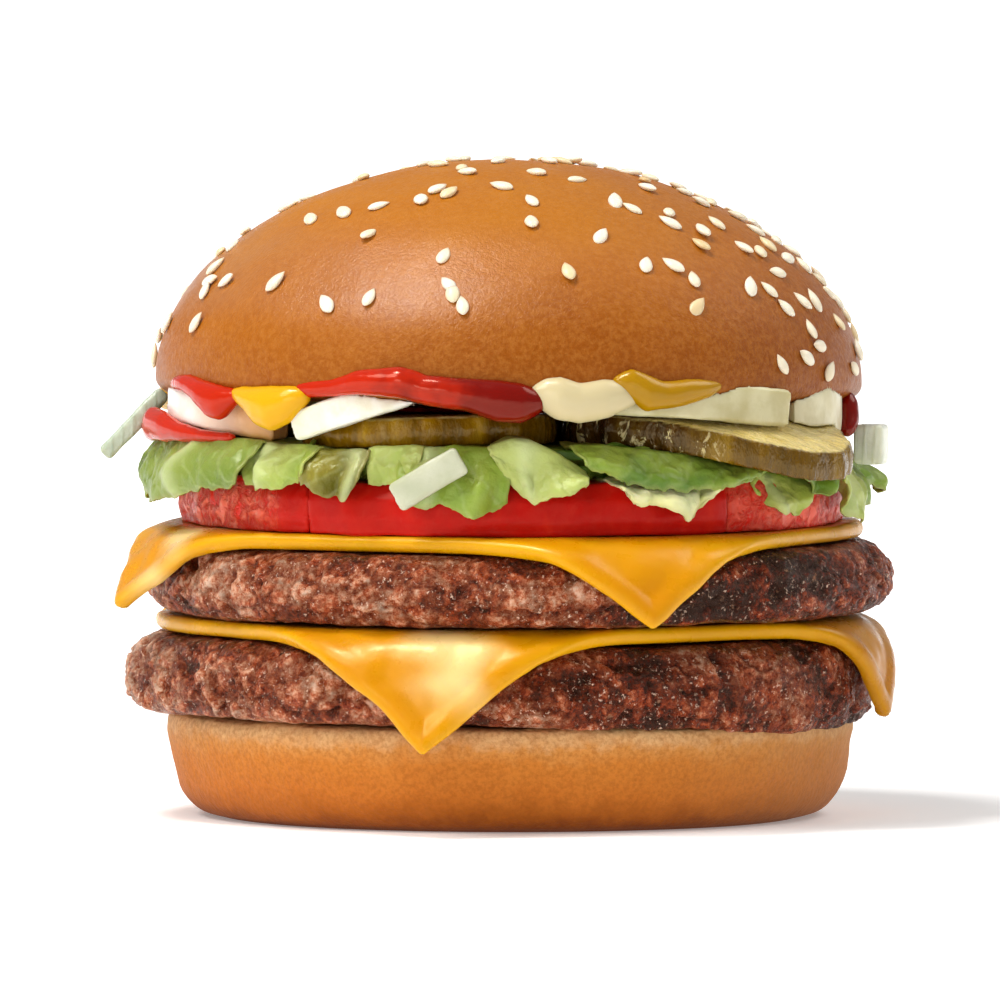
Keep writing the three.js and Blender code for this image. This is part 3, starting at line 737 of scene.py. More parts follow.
# The seeds that face the front: azimuth and height over the crown's widest level.
FRONT_SEEDS = [
    (-78, 19), (-74, 16), (-70, 14), (-69, 12.6), (-63, 14), (-47, 14), (-65, 8), (-33, 11), (-25, 12),
    (-13, 18), (-11, 14), (-10, 12.8), (-8, 11), (11, 16), (5, 23), (6, 26), (-3, 28), (-37, 25), (-32, 21),
    (-46, 24), (-55, 23), (-26, 26), (-24, 27.5), (-19, 27), (-54, 31), (-28, 30.6), (-21, 30), (-11, 31.6),
    (12, 30), (27, 29), (20, 21), (31, 26), (34, 25), (54, 28), (41, 23), (27, 17), (33, 17), (36, 15),
    (34, 11), (49, 22), (44, 20), (58, 23), (49, 14), (54, 13.6), (62, 19), (57, 19.6), (61, 16), (56, 11),
    (63, 12), (68, 12), (61, 8), (62, 5.6), (57, 4), (50, 3), (75, 9), (86, 12), (84, 15), (-89, 26),
    (-88, 29), (-89, 21), (42, 32.6), (65, 32.4), (87, 31.6), (80, 30), (87, 28), (83, 26), (80, 24),
    (88, 23), (75, 22), (84, 20.6), (70, 20), (73, 18), (80, 17), (88, 15.4), (82, 13), (90, 10), (83, 5),
    (76, 2.4), (64, 2), (-90, 6), (45, 24.5), (-75, 31), (70, 26), (76, 27.4), (66, 29), (92, 19), (94, 7),
]


def seed_places(rng):
    """All seeds: the ones at the front, and more over the back and the far right, none too close."""
    places = list(FRONT_SEEDS)
    while len(places) < SEEDS:
        azimuth = rng.uniform(86, 278)
        height = CROWN_HEIGHT * rng.uniform(0.02, 0.97) ** 0.8
        crowding = 0.35 + 0.65 * smooth(math.cos(math.radians(azimuth - 95)), -0.6, 0.8)
        if rng.random() > crowding:
            continue
        spot = np.array(dome_point(azimuth, height))
        if all(np.linalg.norm(spot - dome_point(*other)) > SEED_GAP for other in places[-130:]):
            places.append((azimuth, height))
    return places


def dome_point(azimuth, height):
    share = min(max(height / DOME, 0), 0.985)
    r = CROWN_R * (1 - share**ROUNDNESS) ** (1 / ROUNDNESS)
    a = math.radians(azimuth)
    return np.array([r * math.sin(a), -r * math.cos(a), LIP + share * DOME])


def dome_normal(point):
    r = max(math.hypot(point[0], point[1]), 1e-3)
    steep = (r / CROWN_R) ** (ROUNDNESS - 1) / CROWN_R
    rise = (max(point[2] - LIP, 1e-3) / DOME) ** (ROUNDNESS - 1) / DOME
    normal = np.array([point[0] / r * steep, point[1] / r * steep, rise])
    return normal / np.linalg.norm(normal)


def seeds():
    rng = np.random.default_rng(11)
    shape, faces, tipness = seed_shape()
    points, quads, each, tips = [], [], [], []
    for azimuth, height in seed_places(rng):
        here = dome_point(azimuth, height)
        normal = dome_normal(here)
        side = np.cross([0, 0, 1], normal)
        side /= np.linalg.norm(side)
        up = np.cross(normal, side)
        turn = rng.normal(math.pi / 2, 0.75)
        ahead = side * math.cos(turn) + up * math.sin(turn)
        across = np.cross(normal, ahead)
        lean = rng.normal(0, 0.1)
        size = rng.uniform(1.0, 1.26)
        local = shape * size
        local[:, 2] += local[:, 0] * lean
        world = here + local @ np.stack([ahead, across, normal])
        quads += [[v + len(points) * len(shape) for v in f] for f in faces]
        points.append(on_crown(world))
        each += [rng.random() ** 2] * len(shape)
        tips.append(tipness)
    marks = {"each": each, "tipped_end": np.concatenate(tips)}
    obj = make("sesame_seeds", np.concatenate(points), quads, marks)
    return finish(obj, sesame_paint(), "sesame")


# ---- Patties ----
PATTIES = {
    "patty_lower": {"radius": 53.6, "sag": 2.2, "outline": uneven(0.018, 0.7), "seed": 31},
    "patty_upper": {"radius": 54.2, "sag": 0.0, "outline": uneven(0.02, 3.1), "seed": 57},
}


EDGE_BELOW, EDGE_ABOVE = 4.4, 6.4  # how far in a patty's rim starts to round, under and over its middle


def patty(node):
    radius, outline, seed = (PATTIES[node][key] for key in ("radius", "outline", "seed"))
    low, high = box(node)
    centre = (low + high) / 2
    tall = high[2] - low[2]
    rim = []
    steps = 60
    for i in range(steps):
        a = -math.pi / 2 + math.pi * i / (steps - 1)
        edge = EDGE_BELOW if a < 0 else EDGE_ABOVE
        r = radius - edge + edge * math.cos(a) ** 0.85
        z = tall * (0.4 + (0.4 if a < 0 else 0.6) * math.sin(a))
        rim.append((r, z))
    rings = [(r, 0.0) for r in (12, 26, 36, 43, 47, 49)] + rim + [(r, tall) for r in (46, 44, 40, 32, 20, 8)]
    place = lambda p: p + np.array([centre[0], centre[1], low[2]])
    obj = round_solid(node + "_beef", rings, 1000, outline, place)
    p, n = points_of(obj), normals_of(obj)
    warp = np.stack([noise(p, 5, seed + k) for k in range(3)], -1) * 2.0
    warp += np.stack([noise(p, 1.8, seed + 20 + k) for k in range(3)], -1) * 0.7
    q = (p + warp) * np.array([1, 1, 1.25])
    near, second = cells(q, 4.6, seed)
    small, small_second = cells(q, 1.7, seed + 3)
    gap = smooth(second - near, 0, 0.35)
    small_gap = smooth(small_second - small, 0, 0.3)
    clumps = (0.8 - near) * gap * 0.7
    crumbs = (0.7 - small) * small_gap * 0.36
    hollows = smooth(noise(q, 7, seed + 9), 0.25, 0.6)
    folds = 0.45 - np.abs(noise(q * np.array([1, 1, 1.3]), 3.6, seed + 17)) * 1.5
    grain = octaves(q, 1.2, seed + 11, 2)
    relief = clumps + crumbs + folds * 0.55 - hollows * 0.9 + grain * 0.42
    relief = relief + octaves(q, 6, seed + 15, 2) * 0.8 - 0.35
    slow = octaves(p, 17, seed + 13) * 1.4
    rounded = smooth(1 - np.abs(n[:, 2]), 0.02, 0.35)
    offset = np.clip(relief * 0.85 + slow - 0.2, -2.8, 0.8) * (0.25 + 0.75 * rounded)
    p = p + n * offset[:, None]
    reach = np.linalg.norm((p - centre)[:, :2], axis=1)
    sag = PATTIES[node]["sag"] * smooth(p[:, 0], -15, 38) * smooth(reach, 48.5, 52.5)
    p[:, 2] -= sag * (1 - smooth(p[:, 2], low[2], high[2] - 2))
    move_to(obj, p)
    mark(obj, "relief", np.clip(0.5 + relief * 0.35, 0, 1))
    # painted shade: how deep each point lies in the crevices and hollows, for the dark painted there
    mark(obj, "crevice", np.clip(1 - gap * (0.5 + 0.5 * small_gap) + 0.4 * hollows, 0, 1))
    return finish(obj, BEEF, "beef", node)


# ---- Cheese ----
CHEESE_SIDE = 98
CHEESE_THICK = 2.3
CHEESE_BEND = 6.2
CORNER_SPREAD = 0.35
# For each slice: the direction of its pale patch (a highlight painted on), its turn, how steeply it
# hangs, and its corners. Each corner has its direction, the share by which it is drawn in, and the
# degrees by which it stands off and has slid round the patty.
SLICES = {
    "cheese_lower": {
        "on": "patty_lower",
        "bloom": 263,
        "turn": 34,
        "steep": 84,
        "corners": [(169, 0.205, 0, 0), (259, -0.008, 8, 0), (349, 0.02, 0, -6), (79, 0.03, 6, 0)],
    },
    "cheese_upper": {
        "on": "patty_upper",
        "bloom": 205,
        "turn": 64,
        "steep": 82,
        "corners": [(199, 0.045, 24, 0), (289, 0.036, 8, 0), (19, 0.2, 0, 0), (109, 0.05, 6, 0)],
    },
}


def cheese_steps():
    edge = [-1, -0.9988, -0.9962, -0.993, -0.988]
    return np.array(edge + list(np.linspace(-0.98, 0.98, 140)) + [-e for e in edge[::-1]])


def cheese(node):
    slice_ = SLICES[node]
    outline = PATTIES[slice_["on"]]["outline"]
    centre = middle_of(slice_["on"])
    level = box(node)[1][2] - CHEESE_THICK / 2
    steps = cheese_steps()
    u, v = np.meshgrid(steps, steps, indexing="ij")
    soft = 1 - 0.016 * np.abs(u * v) ** 14
    turn = math.radians(slice_["turn"])
    x = u * soft * CHEESE_SIDE / 2
    y = v * soft * CHEESE_SIDE / 2
    flat = np.stack([x * math.cos(turn) - y * math.sin(turn), x * math.sin(turn) + y * math.cos(turn)], -1)
    angle = np.arctan2(flat[..., 1], flat[..., 0])
    reach = np.linalg.norm(flat, axis=-1)
    steep = np.full(reach.shape, math.radians(slice_["steep"]))
    veer = np.zeros(reach.shape)
    lit = np.exp(-((np.angle(np.exp(1j * (angle - math.radians(slice_["bloom"])))) / 0.2) ** 2))
    for toward, drawn_in, flare, swing in slice_["corners"]:
        away = np.angle(np.exp(1j * (angle - math.radians(toward))))
        share = np.exp(-((away / CORNER_SPREAD) ** 2))
        reach = reach * (1 - drawn_in * share)
        steep = steep - math.radians(flare) * share
        veer = veer + math.radians(swing) * share
        if drawn_in > 0.1:
            reach = reach * (1 - 0.075 * np.exp(-((away / 0.11) ** 2)))
    angle = angle + veer
    outside = PATTIES[slice_["on"]]["radius"] * outline(angle) + 0.8 + CHEESE_THICK / 2
    start = outside - CHEESE_BEND
    s = np.maximum(reach - start, 0)
    turned = np.minimum(s / CHEESE_BEND, steep)
    straight = np.maximum(s - steep * CHEESE_BEND, 0)
    out = CHEESE_BEND * np.sin(turned) + straight * np.cos(steep)
    down = CHEESE_BEND * (1 - np.cos(turned)) + straight * np.sin(steep)
    r = np.where(reach > start, start + out, reach)
    z = level - down
    middle = np.stack([r * np.cos(angle) + centre[0], r * np.sin(angle) + centre[1], z], -1)
    flat_points = middle.reshape(-1, 3)
    wave = octaves(flat_points, 14, 71).reshape(z.shape)
    hung = smooth(s, 0, 8)
    middle[..., 2] += wave * (0.12 + 0.6 * hung)
    from_edge = (1 - np.maximum(np.abs(u), np.abs(v))) * CHEESE_SIDE / 2
    rim = np.exp(-(((from_edge - 1.5) / 1.5) ** 2)) * smooth(s, 1, 5) * 0.7
    ripple = octaves(flat_points + 40, 10, 73).reshape(z.shape) * 0.8 * hung
    dent = octaves(flat_points + 90, 5, 75, 2).reshape(z.shape) * 0.35
    dent = dent * smooth(s, 2, 6) * smooth(from_edge, 2, 6)
    push = rim + ripple + dent
    middle[..., 0] += push * np.cos(angle)
    middle[..., 1] += push * np.sin(angle)
    rounding = 1.0
    curve_in = np.sqrt(1 - (1 - np.clip(from_edge / rounding, 0, 1)) ** 2)
    half = CHEESE_THICK / 2 - rounding * (1 - curve_in) + rim * 0.15
    patches = octaves(flat_points, (14, 14, 9), 77, 2).reshape(z.shape)
    # painted highlight: a pale patch round the slice's given direction, kept off the hanging tips
    bloom = smooth(patches + 1.2 * lit - 0.7, 0, 0.7) * 0.7 * lit
    bloom = bloom * (1 - smooth(s, 8, 16))
    marks = {"edge": 1 - smooth(from_edge, 0.2, 1.6), "bloom": bloom}
    obj = sheet_solid(node + "_slice", middle, half, marks)
    return finish(obj, CHEESE, "cheese", node)


# ---- Tomato ----
def tomato(node, near, far, start, end):
    obj = refined(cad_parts[node], node + "_slice", 0.4, 2)
    p, n = points_of(obj), normals_of(obj)
    ahead = (p - AXIS) * np.array([1, 1, 0])
    ahead /= np.linalg.norm(ahead, axis=1, keepdims=True)
    seam = (1 - np.abs(n[:, 2])) * (1 - np.abs(np.sum(n * ahead, 1)))
    swell = octaves(p, 9, 83) * 0.35 * (1 - seam) + 0.5 * seam
    spot = cells(p + 0.8 * noise(p, 2, 86)[:, None], (3.4, 3.4, 2.3), 85)[0]
    share = start + (end - start) * smooth(p[:, 0], near, far)
    pitted = -0.45 * smooth(noise(p, 4, 88), -0.15, 0.3)
    pits = pitted * (1 - smooth(spot, 0.05, 0.6)) * (1 - np.abs(n[:, 2])) + octaves(p, 1.3, 87, 2) * 0.12
    resting = 0.28 * smooth(-n[:, 2], 0.2, 0.7)
    move_to(obj, p + n * (swell + pits * share + resting)[:, None])
    return finish(obj, tomato_paint(node + "_flesh", near, far, start, end), "tomato", node)


# ---- Lettuce ----
# Each leaf: its node and part; azimuths of its two ends; heights of its top edge and of its torn lower
# edge, evenly spaced from one end to the other; the radius where it starts and how far it swings out;
# its folds and how deep they are; where its midrib is; and its two greens.
PALE, MID, FRESH, DEEP = "#acb662", "#8fa23c", "#76922a", "#4e731a"
LEAF_FIELDS = ("node", "part", "ends", "top", "low", "start", "swing", "folds", "depth", "rib", "greens")
LEAF_ROWS = [
    (1, "a", (-92, -45), (55.2, 56, 56, 55.8, 55.6),
     (50.6, 47.4, 46.4, 46.8, 48, 48.8, 49.6),
     49.4, 6.6, 1.2, 1.0, 0.62, ("#84923f", "#6a7f2c")),
    (1, "b", (-49, -33.5), (55.2, 55.2),
     (49.8, 49.4, 49.2, 49.8, 51.4),
     48.6, 4.4, 1.3, 0.8, 0.3, (PALE, MID)),
    (2, "a", (-36, -24), (54.6, 54.8),
     (50, 49, 48.4, 47.2, 51),
     48.4, 3.0, 1.0, 1.1, 0.8, ("#847a26", "#5f5b12")),
    (3, "a", (-24.5, -14.5), (55.2, 55.6),
     (50.2, 50, 49.8, 50.4),
     48, 2.4, 0.7, 0.5, None, (PALE, MID)),
    (4, "a", (-19, 1), (54.6, 55.6, 55),
     (48.4, 46.6, 47.4, 47.2, 45.4, 46.4, 47.6),
     47.6, 3.6, 1.5, 0.9, 0.25, (MID, FRESH)),
    (5, "a", (-3.4, 13), (55.6, 56.8, 56, 54.2, 51.8),
     (54.4, 50.2, 47.6, 48.2, 49.2, 50.2),
     49.4, 3.2, 0.5, 1.7, 0.42, (PALE, PALE)),
    (6, "a", (10.5, 50), (55.8, 55.4, 54.6, 53.6, 52.8, 52.4),
     (53, 51.2, 49.8, 49.4, 49, 49.2, 49.6, 50.4, 52),
     48.6, 3.8, 1.4, 0.7, None, (MID, DEEP)),
    (6, "b", (17, 38), (50.8, 50.6, 50.4),
     (49.6, 47, 46.8, 47.6, 45.4, 44.6, 46.8, 47.6, 49.4),
     47.6, 5.6, 1.9, 0.8, 0.55, ("#f0edb9", "#dadb92")),
    (7, "a", (45.5, 61), (50.8, 50.8, 50.4),
     (48.4, 46, 44.6, 45, 45.8, 47.2),
     47.4, 4.6, 0.9, 0.9, 0.35, ("#b3b95a", "#93a534")),
    (8, "a", (51, 64), (52.6, 52),
     (51.6, 50.2, 48, 47.2, 49.4),
     50, 3.2, 1.1, 1.2, None, (FRESH, DEEP)),
    (8, "b", (62.5, 78), (52.4, 52),
     (50, 46.2, 43.8, 43.6, 46),
     49.8, 3.8, 1.2, 1.2, 0.5, ("#b4bb68", "#93a33c")),
    (9, "a", (74, 102), (52, 52),
     (48, 44.6, 48.6, 46.4, 48),
     48.4, 6.4, 2, 1.1, None, (MID, DEEP)),
    (10, "a", (99, 131), (52, 52),
     (47.6, 44.6, 43.8, 45.4, 47.8, 46.2),
     48, 5, 2.8, 1, 0.4, (PALE, FRESH)),
    (11, "a", (127, 152), (52, 51.8),
     (47, 45.4, 46.8, 45, 47),
     48, 4.6, 1.8, 1, None, (MID, FRESH)),
    (12, "a", (149, 176), (51.8, 51.6),
     (48, 44.4, 42.8, 44.6, 46.6),
     48.2, 4.8, 2, 1.2, 0.7, (PALE, MID)),
    (13, "a", (171, 204), (51.6, 51.8),
     (46, 44.6, 46.4, 43.6, 45, 47.6),
     48, 5, 2.9, 1, 0.3, (MID, FRESH)),
    (14, "a", (200, 223), (51.8, 52),
     (46.6, 43.6, 45.6, 47),
     48.2, 4.8, 1.7, 1.2, None, (MID, DEEP)),
    (15, "a", (219, 252), (52, 52.6),
     (47, 45, 44.2, 46.6, 45.6, 48),
     48, 5.2, 2.7, 1, 0.5, (PALE, FRESH)),
    (16, "a", (248, 276), (53, 54.6),
     (47.6, 44.8, 46, 45.2, 48),
     48.4, 4.6, 2.1, 1, 0.4, (MID, FRESH)),
]
LEAVES = [dict(zip(LEAF_FIELDS, row)) for row in LEAF_ROWS]


def along(values, s):
    """A smooth line through evenly spaced values."""
    knots = np.linspace(0, 1, len(values))
    low = np.interp(s, knots, values)
    soft = sum(np.interp(np.clip(s + d, 0, 1), knots, values) for d in (-0.06, -0.03, 0.03, 0.06))
    return (low + soft) / 5


def leaf_ribs(place, across, down, wide, phase, wander):
    """How near each point is to the midrib, at the share `place` across the leaf, and to its veins."""
    if place is None:
        branch = np.abs(((across * wide / 5.1 + down * 1.3 + wander) % 1) - 0.5)
        return 0.22 * smooth(branch, 0.38, 0.5)
    line = place + 0.05 * np.sin(3 * down + phase)
    rib = np.exp(-(((across - line) * wide / (1.1 + 0.7 * (1 - down))) ** 2))
    branch = np.abs(((np.abs(across - line) * wide / 4.3 - down * 1.7 + wander) % 1) - 0.5)
    return np.maximum(rib, 0.3 * smooth(branch, 0.38, 0.5) * smooth(down, 0.05, 0.3))


def leaf(spec):
    seed = spec["node"] * 17 + 5 * (spec["part"] == "b")
    name = f"lettuce_leaf_{spec['node']:02d}"
    piece = name + spec["part"]
    first, last = spec["ends"]
    wide = math.radians(last - first) * 50
    cols = int(max(40, wide * 2.6))
    rows_in, rows = 10, 46
    s = np.linspace(0, 1, cols)
    rng_line = np.stack([s * wide, np.full(cols, seed), np.zeros(cols)], -1)
    torn = noise(rng_line, 2.6, seed) * 0.75 + noise(rng_line, 1, seed + 1) * 0.35
    top, low = along(spec["top"], s), along(spec["low"], s) + torn
    t = np.linspace(0, 1, rows)[:, None]
    ease = t ** 0.9
    z_out = top + (low - top) * ease
    down_line = np.stack([np.zeros(rows), t[:, 0] * 9, np.full(rows, seed)], -1)
    side_shift = noise(down_line, 3, seed + 2)[:, None]
    pinch = (0.06 * (2 * s - 1) * t) * -1
    azimuth = first + (last - first) * (s + pinch + 0.012 * side_shift)
    phase = seed * 1.3
    wave = TAU * spec["folds"] * s + phase + 1.1 * t
    crease = np.arcsin(np.sin(wave)) / 1.57
    fold = 0.5 * np.sin(wave) + 0.6 * crease + 0.4 * np.sin(2.3 * wave + phase)
    bulge = np.sin(np.minimum(t * 1.25, 1) * math.pi / 2)
    r_out = spec["start"] + spec["swing"] * bulge * (0.75 + 0.25 * np.sin(3 * s + phase))
    r_out = r_out + spec["depth"] * fold * smooth(t, 0, 0.5)
    back = np.linspace(1, 0, rows_in, endpoint=False)[:, None]
    r_in = spec["start"] - 8.5 * back
    z_in = top - 0.25 * np.sin(back * 3) + 0.2 * noise(np.stack([s * wide, s * 0, s * 0], -1), 4, seed)
    azimuth_in = np.broadcast_to(azimuth[:1], (rows_in, cols))
    r = np.concatenate([np.broadcast_to(r_in, (rows_in, cols)), r_out])
    z = np.concatenate([np.broadcast_to(z_in, (rows_in, cols)), z_out])
    azimuth = np.concatenate([azimuth_in, azimuth])
    middle = around(r, azimuth, z)
    flat = middle.reshape(-1, 3)
    crinkle = 0.5 - np.abs(octaves(flat, 3.6, seed + 6, 2)) * 1.6
    blister = (octaves(flat, 4, seed + 5) * 0.45 + crinkle * 0.4).reshape(r.shape)
    outward = (middle - AXIS) * np.array([1, 1, 0])
    outward /= np.linalg.norm(outward, axis=-1, keepdims=True)
    middle = middle + outward * blister[..., None] + np.array([0, 0, 1]) * (blister * 0.5)[..., None]
    down = np.concatenate([np.zeros((rows_in, cols)), np.broadcast_to(t, (rows, cols))])
    across = np.broadcast_to(s, r.shape)
    wander = 0.5 * octaves(flat, 7, seed + 9, 2).reshape(r.shape)
    rib = leaf_ribs(spec["rib"], across, down, wide, phase, wander)
    middle = middle + outward * (rib * 0.25)[..., None]
    tall = np.maximum(np.mean(top - low), 3)
    to_edge = np.minimum(np.minimum(across, 1 - across) * wide, (1 - down) * tall)
    half = 0.16 + 0.17 * smooth(to_edge, 0, 1.2) + 0.3 * np.clip(rib - 0.5, 0, 1) * smooth(to_edge, 0, 1)
    inner = np.concatenate([np.broadcast_to(fold[:1], (rows_in, cols)), fold])
    blotches = octaves(flat, 6, seed + 8).reshape(r.shape)
    # painted shade: the fold term makes the fold valleys a darker green
    tone = smooth(1 - down, 0, 1) * 0.35 + 0.3 + 0.35 * blotches + 0.14 * inner
    edge = 1 - smooth(to_edge, 0.1, 0.7)
    obj = sheet_solid(piece + "_torn", middle, half, {"rib": rib, "tone": tone, "edge": edge * 0.6})
    pale, fresh = spec["greens"]
    return finish(obj, leaf_paint(piece + "_green", pale, fresh), "lettuce", name)


SHREDS = 150
SHRED_HALF = 0.22


def shreds():
    """The loose shreds that make up the bed, over a smaller solid core."""
    rng = np.random.default_rng(29)
    points, faces, tone = [], [], []
    count = 0
    for k in range(SHREDS):
        azimuth = 360 * (k + rng.uniform(-0.5, 0.5)) / SHREDS
        r0 = rng.uniform(40, 46.5)
        top = BED_Z + 4.4 + (r0 * math.cos(math.radians(azimuth))) * math.tan(TIP)
        z0 = rng.uniform(BED_Z + 0.5, max(BED_Z + 0.9, min(top - 1.6, BED_Z + 4.2)))
        long, wide = rng.uniform(7, 14), rng.uniform(1.6, 4)
        rows, cols = 14, 5
        s = np.linspace(-0.5, 0.5, rows)[:, None]
        w = np.linspace(-0.5, 0.5, cols)[None, :]
        skew = rng.uniform(-0.6, 0.6)
        curl = rng.uniform(-3, 3)
        a = azimuth + np.degrees((s * long * math.cos(skew) + w * wide * 0.3) / r0)
        r = r0 + s * long * math.sin(skew) * 0.6 + 1.2 * np.cos(curl + 7 * s) + 0.35 * np.sin(11 * s + curl)
        z = z0 + w * wide * rng.uniform(0.5, 0.9) + 0.6 * np.sin(curl * 2 + 6 * s)
        taper = 1 - 0.7 * (2 * np.abs(s)) ** 3
        z = z0 + (z - z0) * taper
        middle = around(r, a, z)
        both = both_sides(middle, SHRED_HALF)
        points.append(both)
        faces += (sheet_faces(rows, cols) + count).tolist()
        tone += [rng.uniform(0, 1)] * len(both)
        count += len(both)
    tone = np.array(tone)
    zero = np.zeros(len(tone))
    obj = make("lettuce_shreds", np.concatenate(points), faces, {"tone": tone, "rib": zero, "edge": zero})
    finish(obj, leaf_paint("shred_green", MID, DEEP), "lettuce", "lettuce_bed")
    core = [(r, 0.6) for r in (10, 25, 36)] + [(38.5, 1.2), (39, 2), (38.5, 2.8)]
    core += [(r, 3.2) for r in (36, 25, 10)]
    slope = lambda p: p + AXIS + np.array([0, 0, BED_Z])
    heart = round_solid("lettuce_core", core, 90, uneven(0.02, 5.5), slope)
    p = points_of(heart)
    p[:, 2] -= (p[:, 1] - AXIS[1]) * math.tan(TIP) * smooth(p[:, 2], BED_Z + 1, BED_Z + 3)
    move_to(heart, p)
    zero = np.zeros(len(p))
    for key in ("tone", "rib", "edge"):
        mark(heart, key, zero)
    finish(heart, leaf_paint("core_green", MID, "#51702a"), "lettuce", "lettuce_bed")


# ---- Pickles ----
PICKLES = {
    "pickle_right": {"dark": 1.0, "seed": 3},
    "pickle_middle": {"dark": 0.08, "seed": 5},
    "pickle_left": {"dark": 0.0, "seed": 7},
    "pickle_back_left": {"dark": 0.0, "seed": 9},
    "pickle_back_right": {"dark": 0.3, "seed": 13},
}


def pickle(node):
    obj = refined(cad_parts[node], node + "_slice", 0.42, 4)
    p, n = points_of(obj), normals_of(obj)
    seed = PICKLES[node]["seed"]
    side = 1 - smooth(np.abs(n[:, 2]), 0.55, 0.9)
    ridges = noise(p, (2.2, 2.2, 14), seed) * 0.4 + noise(p, (0.9, 0.9, 3), seed + 1) * 0.12
    face = octaves(p, 4, seed + 2) * 0.2
    move_to(obj, p + n * (ridges * side + face * (1 - side))[:, None])
    mark(obj, "face", smooth(n[:, 2], 0.6, 0.9))
    return finish(obj, pickle_paint(node + "_flesh", PICKLES[node]["dark"]), "pickle", node)


# ---- Onion ----
ONION_TONES = {
    # onion_left's third colour is the warm painted shade at its right end
    "onion_left": ("#fff5ec", "#f8e4d0", "#e2a765"),
    "onion_middle": ("#f8f6ea", "#e2deba"),
    "onion_right": ("#cec69c", "#b3a772"),
    "onion_right_end": ("#e3dbba", "#c4b88a"),
    "onion_far_right": ("#dfe1d0", "#c9ccb0"),
    "onion_far_left": ("#bcc6b4", "#a5b19a"),
    "onion_flake": ("#c2c3a9", "#adb190"),
}


def onion(node):
    obj = refined(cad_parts[node], node + "_piece", 0.3, 3)
    p, n = points_of(obj), normals_of(obj)
    seed = sum(ord(c) for c in node)
    swell = octaves(p, 7, seed) * 0.25
    move_to(obj, p + n * swell[:, None])
    ring = np.linalg.norm((p - AXIS)[:, :2], axis=1) + 0.4 * noise(p, 6, seed + 1)
    mark(obj, "lines", smooth(np.abs((ring / 1.6 % 1) - 0.5), 0.25, 0.5))
    tones = ONION_TONES.get(node, ("#efead2", "#cfc79c"))
    return finish(obj, onion_paint(node + "_flesh", *tones), "onion", node)


